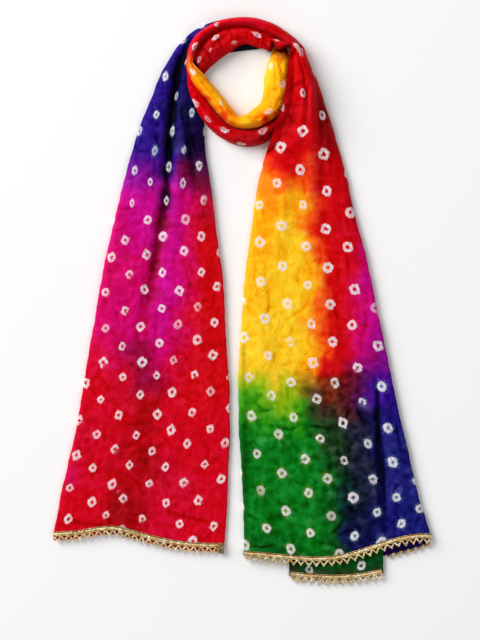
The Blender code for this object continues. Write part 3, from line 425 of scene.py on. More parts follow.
# The left hem: the under layer shows past the top one.
LEDGED = table(Wall, "0.92 -0.2, 0.74 -0.4, 0.58 0, 0.48 1.2") + [
    Wall(0.0, 0.6, LEDGE_HEIGHT), Wall(0.0, 0.6 - LEDGE_REACH, LEDGE_HEIGHT),
    Wall(0.0, -LEDGE_REACH, 0.6 * LEDGE_HEIGHT), Wall(0.0, 0.3 - LEDGE_REACH, 0.2)]

TAIL_FORM = Form(TAIL_STEP, TAIL_EDGE, least=2.2, tuck=0.9, wall=LAYERED, relief=1.1)
ROLL_FORM = Form(ROLL_STEP, ROLL_EDGE, least=3.0, tuck=1.2, wall=ROUNDED, relief=1.9)
SHEET_FORM = Form(TAIL_STEP, SHEET, least=SHEET, tuck=0.5, wall=ROUNDED, relief=0.25)

# Knots of the lattices: turn and spread are in radians, whole is the share with unbroken rings.
SQUARE_KNOTS = Knots(1.0, narrow=0.88, style=0.4, turn=0.25 * math.pi, spread=0.45, whole=0.6)
ROUND_KNOTS = Knots(1.1, narrow=0.95, style=0.6, turn=0.25 * math.pi, spread=0.6, whole=0.74)

# The ribbon: heights of its bare weave, of its strands and of its back. Its braids: middle, half
# width, pitch of the strands, lean, and height between strands.
BAND_LOW, BAND_HIGH, BAND_BACK = 0.3, 1.25, 0.02
BRAIDS = ((0.8, 0.75, 2.8, 1.2, 0.75), (3.5, 2.0, 5.6, -1.1, 0.84), (6.55, 0.6, 2.8, 0.0, 0.35))


class Noise:
    """Smooth gradient noise over a plane, from about -1 to 1, the same each run."""

    def __init__(self, seed):
        angles = np.random.default_rng(seed).uniform(0, 2 * math.pi, (NOISE_CELLS, NOISE_CELLS))
        self.gx, self.gy = np.cos(angles), np.sin(angles)

    def __call__(self, x, y):
        i, j = np.floor(x).astype(int), np.floor(y).astype(int)
        u, v = x - i, y - j

        def corner(a, b):
            at = (i + a) % NOISE_CELLS, (j + b) % NOISE_CELLS
            return self.gx[at] * (u - a) + self.gy[at] * (v - b)

        fade_u, fade_v = (t ** 3 * (t * (t * 6 - 15) + 10) for t in (u, v))
        low, high = (corner(0, b) * (1 - fade_u) + corner(1, b) * fade_u for b in (0, 1))
        return 1.5 * (low * (1 - fade_v) + high * fade_v)


ROUGH = Noise(CREASE_SEED)
SOFT = Noise(CREASE_SEED + 1)


def smooth_step(value):
    """0 below 0, 1 above 1, and a smooth rise between."""
    value = np.clip(value, 0.0, 1.0)
    return value * value * (3.0 - 2.0 * value)


def lengths(line):
    """Length along a line of points, from its first."""
    return np.append(0.0, np.cumsum(np.linalg.norm(np.diff(line, axis=0), axis=1)))


def through_points(knots, values, wanted):
    """Cubic Hermite curve through values at knots, with slopes from the neighbouring points."""
    slopes = np.gradient(values, knots, axis=0)
    place = np.clip(np.searchsorted(knots, wanted, side="right") - 1, 0, len(knots) - 2)
    span = (knots[place + 1] - knots[place])[:, None]
    u = (wanted - knots[place])[:, None] / span
    return ((2 * u ** 3 - 3 * u ** 2 + 1) * values[place] + (u ** 3 - 2 * u ** 2 + u) * span * slopes[place]
            + (3 * u ** 2 - 2 * u ** 3) * values[place + 1] + (u ** 3 - u ** 2) * span * slopes[place + 1])


def smooth_rows(rows, step):
    """Sections read from a smooth curve through the table's rows, about one step apart."""
    rows = np.array(rows)
    along = lengths(0.5 * (rows[:, 0:2] + rows[:, 2:4]))
    return through_points(along, rows, np.linspace(0.0, along[-1], int(round(along[-1] / step)) + 1))


def hem_line(hem, x):
    """The hem's y at each x, on a smooth curve through its points."""
    points = np.array(hem)
    flat = np.clip(np.ravel(x), points[0, 0], points[-1, 0])
    return through_points(points[:, 0], points[:, 1:2], flat).reshape(np.shape(x))


def fold_height(x, y, folds):
    """Sum of the soft ridges and troughs at each point; each fades out at both ends."""
    height = np.zeros_like(x)
    for x0, y0, xm, ym, x1, y1, half_width, rise in folds:
        best, share = np.full_like(x, FAR), np.zeros_like(x)
        for half, (ax, ay, bx, by) in enumerate(((x0, y0, xm, ym), (xm, ym, x1, y1))):
            length = (bx - ax) ** 2 + (by - ay) ** 2
            u = np.clip(((x - ax) * (bx - ax) + (y - ay) * (by - ay)) / length, 0.0, 1.0)
            away = np.hypot(x - ax - u * (bx - ax), y - ay - u * (by - ay))
            share = np.where(away < best, 0.5 * (half + u), share)
            best = np.minimum(away, best)
        height += rise * np.sin(math.pi * (share * 0.9 + 0.05)) * np.exp(-(best / half_width) ** 2)
    return height


class Heap:
    """Height map of the tops of chosen skins, widened so that what lies on them clears them."""

    def __init__(self, skins, reach):
        self.top = np.zeros([int(2 * half / MAP_CELL) + 1 for half in MAP_HALF])
        for skin in skins:
            points = skin.points.reshape(-1, 3)
            i, j = np.round((points[:, :2] + MAP_HALF) / MAP_CELL).astype(int).T
            np.maximum.at(self.top, (i, j), points[:, 2])
        cells = max(1, int(round(reach / MAP_CELL)))
        self.spread(cells, np.maximum.reduce)
        for _ in range(2):
            self.spread(max(1, cells // 4), lambda near: sum(near) / len(near))

    def spread(self, cells, blend):
        """Blend each value with those up to so many cells away."""
        for axis in (0, 1):
            self.top = blend([np.roll(self.top, shift, axis) for shift in range(-cells, cells + 1)])

    def height(self, x, y):
        """Height to rest at: just above the floor where nothing lies below."""
        gx, gy = (np.clip((at + half) / MAP_CELL, 0, count - 1.001)
                  for at, half, count in zip((x, y), MAP_HALF, self.top.shape))
        i, j = gx.astype(int), gy.astype(int)
        u, v = gx - i, gy - j
        level = ((1 - u) * (1 - v) * self.top[i, j] + u * (1 - v) * self.top[i + 1, j]
                 + (1 - u) * v * self.top[i, j + 1] + u * v * self.top[i + 1, j + 1])
        return np.where(level > MAP_BARE, level + SEAM_GAP, FLOOR_GAP)


def across_places(count):
    """Places across a strip from 0 to 1, closer together near its edges."""
    even = np.linspace(0.0, 1.0, count)
    return 0.6 * even + 0.4 * (0.5 - 0.5 * np.cos(math.pi * even))


def way_across(sections):
    """The way from the outer edge to the inner one, at each section."""
    run = sections[:, 2:4] - sections[:, 0:2]
    return run / np.linalg.norm(run, axis=1)[:, None]


def wander(along, lane):
    """How far an edge strays at each length along the cloth, as a crinkled selvedge does."""
    slow = SOFT(along / 58.0, np.full_like(along, lane))
    quick = ROUGH(along / 13.0, np.full_like(along, lane + 0.5))
    return 0.75 * slow + 0.42 * quick


def crinkles(x, y):
    """The small uneven crinkles that tying leaves all over the cloth, in three leans, and lumps."""
    bend = 9.0 * SOFT(x / 47.0, y / 61.0)
    leans = (((x + bend) / 17.0, (y - bend) / 39.0),
             ((x + 0.8 * y) / 31.0 + 9.2, (y - 0.5 * x + bend) / 19.0),
             ((x - 0.8 * y) / 31.0 + 3.7, (y + 0.5 * x - bend) / 19.0))
    creases = sum(1.0 - 2.4 * np.abs(ROUGH(*lean)) for lean in leans)
    lumps = SOFT(x / 26.0 + 4.1, y / 34.0)
    return 0.26 * creases + 0.5 * lumps + 0.2 * ROUGH(x / 7.5 + 1.7, y / 10.5)


def puckers(spots):
    """Each tied spot stands up a little and pulls small creases round it."""
    u, v, reach = np.moveaxis(spots.vector, -1, 0)
    seed = spots.look[..., 3]
    pleats = 4 + np.floor(4 * seed)
    puff = 0.5 * np.exp(-(reach / 1.05) ** 2) - 0.1 * np.exp(-(reach / 0.35) ** 2)
    star = np.cos(pleats * np.arctan2(v, u) + 20.0 * seed) * np.exp(-((reach - 2.1) / 0.95) ** 2)
    return puff + 0.34 * star


def tie_spots(along, girth, stretch, ties):
    """For every point, its place in the nearest tied spot, in spot radii, and that spot's look.

    ties has a row for each spot: along, girth, size, turn, breach, faint, seed, narrowness, and
    style, from 0 for a square knot to 1 for a round one, and above 1 for one pressed flat.
    """
    best = np.full(along.shape, FAR)
    vector = np.zeros((*along.shape, 3))
    vector[..., 2] = 9.0
    look = np.zeros((*along.shape, 4))
    for at_along, at_girth, size, turn, breach, faint, seed, narrow, style in ties:
        radius = SPOT_RADIUS * size
        du, dv = (along - at_along) * stretch / radius, (girth - at_girth) / narrow / radius
        away = np.hypot(du, dv)
        nearer = away < best
        best = np.minimum(away, best)
        c, s = math.cos(turn), math.sin(turn)
        vector[nearer] = np.stack([c * du + s * dv, c * dv - s * du, away], axis=-1)[nearer]
        look[nearer] = (breach, 1.0 - faint, style, seed)
    return Spots(vector, look)


def lattice(spacing, row_pitch, first, last, half_width, tilt, knots, seed, gathered=0.0):
    """Rows of tied spots, every other row set over by half a space, each a little out of place.

    Nearer the start than gathered, where the cloth is bunched, they are squeezed narrow.
    """
    chance = np.random.default_rng(seed)

    def stray(usual):
        return np.clip(chance.normal(0, usual), -SPOT_STRAY, SPOT_STRAY)

    ties = []
    rest = (1.0 - knots.whole) / 3
    columns = int(half_width / spacing) + 2
    for row in range(int((last - first) / row_pitch) + 1):
        for column in range(-columns, columns + 1):
            at_girth = (column + 0.5 * (row % 2)) * spacing + stray(2.4)
            at_along = first + row * row_pitch + tilt * at_girth + stray(2.2)
            turn = knots.turn + knots.spread * chance.uniform(-1, 1)
            breach = chance.choice([0.0, 0.4, 0.7, 0.9], p=[knots.whole, rest, rest, rest])
            faint = chance.choice([0.0, 0.12, 0.35], p=[0.72, 0.2, 0.08])
            size = knots.size * chance.uniform(0.84, 1.12)
            seed_value, narrow = chance.uniform(), knots.narrow * chance.uniform(0.88, 1.06)
            style = knots.style + 0.15 * chance.uniform(-1, 1)
            if at_along < gathered:
                narrow, style = 0.7 * narrow, style + chance.choice([0.3, 0.75])
            ties.append((at_along, at_girth, size, turn, breach, faint, seed_value, narrow, style))
    return ties


def dyed(x, y, pools, ghosts, creases, shades):
    """Dye at each point: pools that bleed and mix where they meet, as clear inks do.

    Painted shade darkens it in the creases and along the strokes of the shade tables.
    """
    def bleed(slow_x, quick_y, fine_x, fine_y):
        return (8.5 * SOFT(x / 44.0 + slow_x, y / 44.0) + 4.6 * ROUGH(x / 17.0, y / 21.0 + quick_y)
                + 1.3 * ROUGH(x / 7.0 + fine_x, y / 9.0 + fine_y))

    px, py = x + bleed(0.0, 0.0, 4.4, 0.0), y + bleed(8.3, 5.1, 0.0, 6.6)
    total, density = np.zeros_like(x), np.zeros((*x.shape, 3))
    for pool in pools:
        near = ((px - pool.x) ** 2 + (py - pool.y) ** 2) / pool.reach ** 2
        weight = np.exp(-POOL_FALL * near) + POOL_TRACE / (1.0 + near) ** 2
        total += weight
        density += weight[..., None] * np.log(pool.dye + INK_FLOOR)
    colour = np.clip(np.exp(density / total[..., None]) - INK_FLOOR, 0.0, 1.0)
    # Painted shade: the dye is made darker in the creases.
    gathered = np.clip(-fold_height(x, y, creases), -0.3, 1.0)
    thick = (1.0 + 0.14 * SOFT(x / 31.0 + 2.2, y / 43.0) + 0.07 * ROUGH(x / 14.0, y / 17.0 + 3.3)
             + 0.03 * ROUGH(x / 6.0, y / 8.0 + 1.1) + 0.3 * gathered)
    # Painted shade along the strokes of the shade tables.
    painted_darkening = np.exp(fold_height(px * 0.3 + x * 0.7, py * 0.3 + y * 0.7, shades))
    colour = colour ** thick[..., None] * painted_darkening[..., None]
    for ghost in ghosts:
        away = np.hypot(0.5 * (px + x) - ghost.x, 1.2 * (0.5 * (py + y) - ghost.y))
        share = ghost.strength * (1.0 - smooth_step((away - 0.6 * ghost.reach) / (0.45 * ghost.reach)))
        colour += share[..., None] * (colour ** 0.74 + 0.012 - colour)
    return np.clip(colour, 0.0, 1.0)


def tube_faces(index, turned=False):
    """Quads between rings of point numbers, each a row of index; turned faces the other way."""
    after = np.roll(index, -1, axis=1)
    corners = [index[:-1], after[:-1], after[1:], index[1:]]
    if turned:
        corners = corners[:1] + corners[:0:-1]
    return np.stack(corners, axis=-1).reshape(-1, 4)


def finished(name, points, faces, material, sharp, **fields):
    """The object made of points and faces, with fields on its points for the material to read."""
    mesh = bpy.data.meshes.new(name)
    mesh.from_pydata((points * MM).tolist(), [], faces)
    mesh.validate()
    kinds = {1: ("FLOAT", "value"), 3: ("FLOAT_VECTOR", "vector"), 4: ("FLOAT_COLOR", "color")}
    for field, values in fields.items():
        kind, key = kinds[values.shape[1]]
        mesh.attributes.new(field, kind, "POINT").data.foreach_set(key, values.astype(np.float32).ravel())
    mesh.materials.append(material)
    mesh.shade_smooth()
    mesh.set_sharp_from_angle(angle=math.radians(sharp))
    return linked("stole_" + name, mesh)


def linked(name, data):
    """A new object in the scene."""
    made = bpy.data.objects.new(name, data)
    bpy.context.scene.collection.objects.link(made)
    return made


class Skin:
    """One stretch of cloth: a closed tube of points, and what the dye and the ties do at each.

    Waves are how far its outer and inner edges stray, and trims how far they are cut back.
    """

    def __init__(self, name, rows, form, heaps, folds=(), creases=(), hem=None, waves=(0.0, 0.0),
                 trims=(0.0, 0.0), shades=()):
        self.name, self.form, self.creases, self.shades, self.hem = name, form, creases, shades, hem
        self.walls = len(form.wall)
        sections = smooth_rows(rows, form.step)
        along = lengths(0.5 * (sections[:, 0:2] + sections[:, 2:4]))
        self.side = way_across(sections)
        sections[:, 0:2] += (waves[0] * wander(along, 3.3) + trims[0])[:, None] * self.side
        sections[:, 2:4] -= (waves[1] * wander(along, 7.7) + trims[1])[:, None] * self.side
        outer, inner, crown = sections[:, 0:2], sections[:, 2:4], sections[:, 4:]
        width = np.linalg.norm(inner - outer, axis=1)[:, None]
        round_over = 0.9 * crown if form is ROLL_FORM else 0.0
        self.columns = int(round(np.max(width + round_over) / form.step)) + 1
        over = across_places(self.columns)

        def place(t):
            xy = outer[:, None, :] + t[..., None] * (inner - outer)[:, None, :]
            if hem:
                share = 1.0 - smooth_step((sections[:, 1:2] - hem.level) / hem.reach)
                xy[..., 1] += share * (hem_line(hem.points, xy[..., 0]) - hem.level)
            return np.moveaxis(xy, -1, 0)

        def rest(x, y):
            return np.maximum.reduce([heap.height(x, y) for heap in heaps])

        self.x, self.y = x, y = place(np.broadcast_to(over, (len(sections), self.columns)))
        power = np.clip(width / (WIDTH_PER_POWER * crown), ROLL_POWER, FLAT_POWER)
        self.dome = dome = (1.0 - np.abs(2.0 * over - 1.0) ** power) ** (1.0 / power)
        self.base = rest(x, y)
        rise = (fold_height(x, y, folds) + fold_height(x, y, creases)) * dome
        thin = form.edge + (form.least - form.edge) * dome
        self.top = np.maximum(form.edge + (crown - form.edge) * dome + rise, self.base + thin)
        tuck = np.minimum(form.tuck / width, 0.3)
        low_x, low_y = place(tuck + (1.0 - 2.0 * tuck) * over)
        self.under = np.dstack([low_x, low_y, rest(low_x, low_y)])
        self.measure()

    def measure(self):
        """Length along the middle line, girth out from it, and how the rows spread away from it."""
        points = np.dstack([self.x, self.y, self.top])
        middle = self.columns // 2
        self.along = lengths(points[:, middle, :2])
        girth = np.cumsum(np.linalg.norm(np.diff(points, axis=1, prepend=points[:, :1]), axis=2), axis=1)
        self.girth = girth - girth[:, middle:middle + 1]
        true = np.hypot(np.gradient(self.x, axis=0), np.gradient(self.y, axis=0))
        self.stretch = true / np.maximum(np.gradient(self.along), 1e-6)[:, None]

    def placed(self, ties, seed, pressed=True):
        """Spots given one by one, by their place seen from above, as rows for tie_spots."""
        chance = np.random.default_rng(seed)
        rows = []
        for tie in ties:
            i, j = np.unravel_index(np.argmin(np.hypot(self.x - tie.x, self.y - tie.y)), self.x.shape)
            rows.append((self.along[i], self.girth[i, j], tie.size, tie.turn * math.pi, tie.breach,
                         tie.faint, chance.uniform(), chance.uniform(0.55, 0.85) if pressed else 0.9,
                         chance.uniform(1.1, 1.35) if pressed else 0.5))
        return rows

    def tie(self, ties):
        """Raise the crinkles and the tied spots on the top, and close the skin into rings."""
        form, along = self.form, np.broadcast_to(self.along[:, None], self.x.shape)
        self.spots = tie_spots(along, self.girth, self.stretch, ties)
        relief = form.relief * crinkles(self.x, self.y)
        relief += min(1.0, form.relief + 0.2) * puckers(self.spots)
        self.top = np.maximum(self.top + relief * np.clip(self.dome * 1.3 - 0.15, 0.0, 1.0),
                              self.base + 0.8 * form.least)

        def wall(column, sign):
            base, top = self.base[:, column], self.top[:, column]
            edge = np.column_stack([self.x[:, column], self.y[:, column]])
            return np.stack([np.column_stack([edge + sign * item.inset * self.side,
                                              base + (top - base) * item.share])
                             for item in form.wall], axis=1)

        self.points = np.concatenate([np.dstack([self.x, self.y, self.top]), wall(-1, -1.0),
                                      self.under[:, ::-1], wall(0, 1.0)[:, ::-1]], axis=1)

    def mesh(self):
        """Points and quads of the whole closed skin, and the ring point whose dye each point takes."""
        stations, size = self.points.shape[:2]
        columns, walls = self.columns, self.walls
        index = np.arange(stations * size).reshape(stations, size)
        points, owner, faces = [self.points.reshape(-1, 3)], [index.ravel()], [tube_faces(index)]
        count = index.size
        for station, other in ((0, 1), (stations - 1, stations - 2)):
            ring = index[station]
            top, low = self.points[station, :columns], self.under[station]
            outwards = (self.points[station] - self.points[other])[columns // 2, :2]
            outwards = outwards / np.linalg.norm(outwards)
            lines = [ring[:columns]]
            for k, item in enumerate(self.hem.end if station and self.hem else self.form.wall):
                height = low[:, 2] + (top[:, 2] - low[:, 2]) * item.share + item.lift
                row = np.column_stack([top[:, :2] - item.inset * outwards, height])[1:-1]
                points.append(row)
                owner.append(ring[1:columns - 1])
                inside = count + np.arange(len(row))
                lines.append(np.concatenate([[ring[-1 - k]], inside, [ring[columns + k]]]))
                count += len(row)
            lines.append(ring[columns + walls:2 * columns + walls][::-1])
            for above, below in zip(lines, lines[1:]):
                quads = np.stack([above[:-1], above[1:], below[1:], below[:-1]], axis=-1)
                faces.append(quads if station else quads[:, ::-1])
        return np.concatenate(points), np.concatenate(faces), np.concatenate(owner)

    def painted_cavity_shade(self):
        """Painted shade in hollow places and painted light on ridges: a power on the dye, as a cavity map."""
        painted_hollow_shade = np.zeros_like(self.top)
        for reach, weight in ((2, 0.3), (6, 0.2)):
            soft = self.top
            for axis in (0, 1):
                wide = np.pad(soft, [(reach, reach) if axis == k else (0, 0) for k in (0, 1)], mode="edge")
                soft = sum(np.take(wide, np.arange(shift, shift + soft.shape[axis]), axis)
                           for shift in range(2 * reach + 1)) / (2 * reach + 1)
            painted_hollow_shade += weight * (soft - self.top)
        return 1.0 + np.clip(painted_hollow_shade * np.clip(3.0 * self.dome - 0.6, 0.0, 1.0), -0.12, 0.6)

    def build(self, material, pools, ghosts=(), heart=WHITE):
        """The finished object, with its dye, painted shade included, and its spots stored on the mesh.

        The heart is the colour inside a tied ring and in the halo round it.
        """
        points, faces, owner = self.mesh()
        columns, walls = self.columns, self.walls

        def carried(field):
            """A value known on the top, carried round the walls and to the underside."""
            inner, outer = (np.repeat(field[:, edge:edge + 1 or None], walls, axis=1) for edge in (-1, 0))
            whole = np.concatenate([field, inner, field[:, ::-1], outer], axis=1)
            return whole.reshape(-1, field.shape[2])[owner]

        dye = dyed(points[:, 0], points[:, 1], pools, ghosts, self.creases, self.shades)
        # Painted shade in hollow places and painted light on ridges.
        dye = dye ** carried(self.painted_cavity_shade()[..., None])
        strongest = dye.max(axis=1, keepdims=True)
        tint = 0.4 * np.clip(6.0 * dye[:, 1:2], 0.0, 1.0) * (0.35 + 0.65 * strongest)
        centre = (1.1 - tint) * dye + tint * heart
        blueness = (dye[:, 2] - dye[:, :2].max(axis=1)) / (dye.sum(axis=1) + 0.01)
        centre += 0.5 * np.clip(1.6 * blueness, 0.0, 1.0)[:, None] * (AQUA - centre)

        # The girth runs on down the inner wall, so that the weave isn't stretched there.
        along = np.broadcast_to(self.along[:, None], self.x.shape)
        cloth = carried(np.dstack([along, self.girth, np.zeros_like(along)]))
        falls = np.abs(np.diff(self.points[:, columns - 1:columns + walls, 2], axis=1))
        drop = np.pad(np.cumsum(falls, axis=1), ((0, 0), (columns, columns + walls)))
        cloth[:, 1] += drop.ravel()[owner]

        solid = np.ones((len(dye), 1))
        return finished(self.name, points, faces.tolist(), material, CLOTH_SHARP, dye=np.hstack([dye, solid]),
                        heart=np.hstack([np.clip(centre, 0.0, 1.0), solid]), cloth=cloth,
                        spot=carried(self.spots.vector), look=carried(self.spots.look))


class Value:
    """An output of a node, written like a number in sums and products."""

    def __init__(self, graph, socket):
        self.graph, self.socket = graph, socket

    def __add__(self, other):
        return self.graph.math("ADD", self, other)

    def __sub__(self, other):
        return self.graph.math("SUBTRACT", self, other)

    def __rsub__(self, other):
        return self.graph.math("SUBTRACT", other, self)

    def __mul__(self, other):
        return self.graph.math("MULTIPLY", self, other)

    def __abs__(self):
        return self.graph.math("ABSOLUTE", self)

    __radd__, __rmul__ = __add__, __mul__


class Graph:
    """Short way to write a material's nodes."""

    def __init__(self, name):
        self.material = bpy.data.materials.new(name)
        self.material.use_nodes = True
        self.tree = self.material.node_tree

    def put(self, sockets, inputs):
        """Link or set each input, given by its socket's name or place."""
        for key, value in inputs.items():
            if isinstance(value, Value):
                self.tree.links.new(value.socket, sockets[key])
            else:
                sockets[key].default_value = value

    def surface(self, inputs):
        """The material, with these inputs to its shader."""
        self.put(self.tree.nodes["Principled BSDF"].inputs, inputs)
        return self.material

    def node(self, kind, inputs, output=0, **settings):
        """One output of a new node."""
        made = self.tree.nodes.new("ShaderNode" + kind)
        for key, value in settings.items():
            setattr(made, key, value)
        self.put(made.inputs, inputs)
        return Value(self, made.outputs[output])

    def read(self, name, output):
        return self.node("Attribute", {}, output, attribute_name=name)

    def math(self, operation, *values):
        return self.node("Math", dict(enumerate(values)), operation=operation)

    def vector(self, operation, inputs, output="Vector"):
        return self.node("VectorMath", inputs, output, operation=operation)

    def join(self, x, y, z=0.0):
        return self.node("CombineXYZ", {"X": x, "Y": y, "Z": z})

    def parts(self, value, kind="SeparateXYZ"):
        """The three parts of a vector or a colour."""
        made = self.node(kind, {0: value}).socket.node
        return [Value(self, socket) for socket in made.outputs]

    def ramp(self, value, low, high, to_low=0.0, to_high=1.0):
        """Smooth change from to_low to to_high as value goes from low to high."""
        inputs = dict(enumerate((value, low, high, to_low, to_high)))
        return self.node("MapRange", inputs, interpolation_type="SMOOTHSTEP")

    def noise(self, where, scale, detail=2.0, roughness=0.5):
        inputs = {"Vector": where, "Scale": scale, "Detail": detail, "Roughness": roughness}
        return self.node("TexNoise", inputs, "Fac")

    def mix(self, share, first, second):
        """A colour between two others. Colour sockets share their names, so places are used."""
        return self.node("Mix", {0: share, 6: first, 7: second}, 2, data_type="RGBA")

    def bump(self, height, strength, distance):
        return self.node("Bump", {"Height": height, "Strength": strength, "Distance": distance}, "Normal")


def silk(name):
    """Crinkled art silk with tied and dyed spots. Lengths along the cloth are in millimetres."""
    g = Graph(name)
    cloth, dye, heart = g.read("cloth", "Vector"), g.read("dye", "Color"), g.read("heart", "Color")
    breach, strength, style = g.parts(g.read("look", "Color"), "SeparateColor")
    seed = g.read("look", "Alpha")
    u, v, reach = g.parts(g.read("spot", "Vector"))
    plane = g.join(u, v)
    flat = g.join(u, v, 30.0 * seed)
    way_u, way_v, _ = g.parts(g.vector("NORMALIZE", {0: plane}))
    rays = g.noise(g.join(way_u, way_v, 40.0 * seed), 3.6, 2.0, 0.65)
    lobes = g.noise(flat, 1.5, 2.0, 0.55)
    flecks = g.noise(flat, 4.6, 2.0, 0.6)

    # A tied spot: a ragged white ring, in petals, partly broken, with a dyed hole.
    round_away = g.vector("LENGTH", {0: plane}, "Value")
    square_away = g.math("MAXIMUM", abs(u), abs(v))
    away = g.ramp(style, 0.0, 1.0, 0.3 * round_away + 0.84 * square_away, 1.04 * round_away)
    ragged = g.ramp(style, 1.0, 1.3, 0.62, 1.5)
    away = away + (lobes - 0.5) * ragged + (rays - 0.5) * ragged
    near = g.ramp(reach, 1.5, 1.85, 1.0, 0.0)
    disc = g.ramp(away, 0.86, 1.06, 1.0, 0.0) * near
    hole = g.ramp(away, 0.28, 0.44, 1.0, 0.0) * g.ramp(style, 1.0, 1.3, 1.0, 0.5)
    petals = g.ramp(rays, 0.36, 0.47, 0.5, 1.0)
    seep = g.ramp(flecks, 0.52, 0.66) * g.ramp(style, 0.0, 1.0, 0.75, 0.35)
    broken = g.ramp(u + (lobes - 0.5) * 2.2, 0.3, 0.65) * breach
    white = disc * (1.0 - hole) * (1.0 - seep) * (1.0 - broken) * petals * strength

    # Fine crease lines, here and there on the cloth, as bumps and as painted shade that darkens the dye.
    along, across, _ = g.parts(cloth)
    line = 0.0
    for lean, level in CREASE_FAMILIES:
        sloped = g.join(0.42 * (along + across * lean), across - along * lean, level)
        crisp = g.ramp(abs(g.noise(sloped, 0.03, 2.5, 0.5) - 0.5), 0.0, 0.03, 1.0, 0.0)
        line = line + crisp * g.ramp(g.noise(sloped, 0.05, 1.0), 0.52, 0.64)

    # Random thickness of the dye, with painted shade along the crease lines.
    blotch_and_crease_shade = g.ramp(g.noise(cloth, 0.12, 4.0, 0.6), 0.3, 0.7, 0.95, 1.06) + line * 0.14
    threads = g.noise(g.vector("MULTIPLY", {0: cloth, 1: (0.9, 2.2, 1.0)}), 1.0, 1.0)
    uneven = g.node("Gamma", {"Color": dye, "Gamma": blotch_and_crease_shade})
    ground = g.vector("SCALE", {0: uneven, 3: g.ramp(threads, 0.25, 0.75, 0.97, 1.03)})
    halo = g.ramp(away, 0.95, 1.75, 0.7, 0.0) * g.ramp(rays, 0.46, 0.62)
    ground = g.mix(halo * near, ground, heart)
    ground = g.mix(disc * hole * 0.85, ground, heart)
    resist = g.mix(0.13, (*WHITE, 1.0), heart)

    creases = abs(g.noise(g.vector("MULTIPLY", {0: cloth, 1: (0.75, 1.0, 1.0)}), 0.12, 3.0, 0.55) - 0.5)
    small = g.noise(cloth, 0.5, 2.0, 0.6)
    weave = g.math("SINE", along * WEAVE) + g.math("SINE", across * WEAVE)
    height = creases * 2.2 - line * 0.5 + small * 0.22 + weave * 0.012 + white * 0.12
    return g.surface({"Base Color": g.mix(white, ground, resist),
                      "Roughness": g.ramp(g.noise(cloth, 0.09, 3.0), 0.3, 0.7, 0.42, 0.58),
                      "Sheen Weight": 0.01, "Sheen Roughness": 0.35, "Specular IOR Level": 0.03,
                      "Normal": g.bump(height, 0.8, MM)})


def gilt(name):
    """Metal-wrapped thread: painted light where it stands up, painted shade of dark brown between."""
    g = Graph(name)
    place = g.node("TexCoord", {}, "Object")
    grain, patch = g.noise(place, 900.0, 2.0), g.noise(place, 210.0, 2.0, 0.6)
    dull, bright, painted_glint, brown, painted_hollow_shade = ((*srgb(*levels), 1.0) for levels in (
        (216, 170, 96), (244, 212, 144), (255, 250, 222), (150, 96, 42), (74, 34, 14)))
    colour = g.mix(g.ramp(grain, 0.3, 0.7), dull, bright)
    # Painted glints: bright cream patches at random.
    colour = g.mix(g.ramp(patch, 0.53, 0.62), colour, painted_glint)
    colour = g.mix(g.ramp(patch, 0.34, 0.44, 0.8, 0.0), colour, brown)
    # Painted shade: dark brown where the painted light level is low.
    colour = g.mix(g.ramp(g.read("raised", "Fac"), 0.15, 0.7), painted_hollow_shade, colour)
    return g.surface({"Base Color": colour, "Metallic": 0.35,
                      "Roughness": g.ramp(grain, 0.3, 0.7, 0.44, 0.24),
                      "Normal": g.bump(grain, 0.6, 0.3 * MM)})


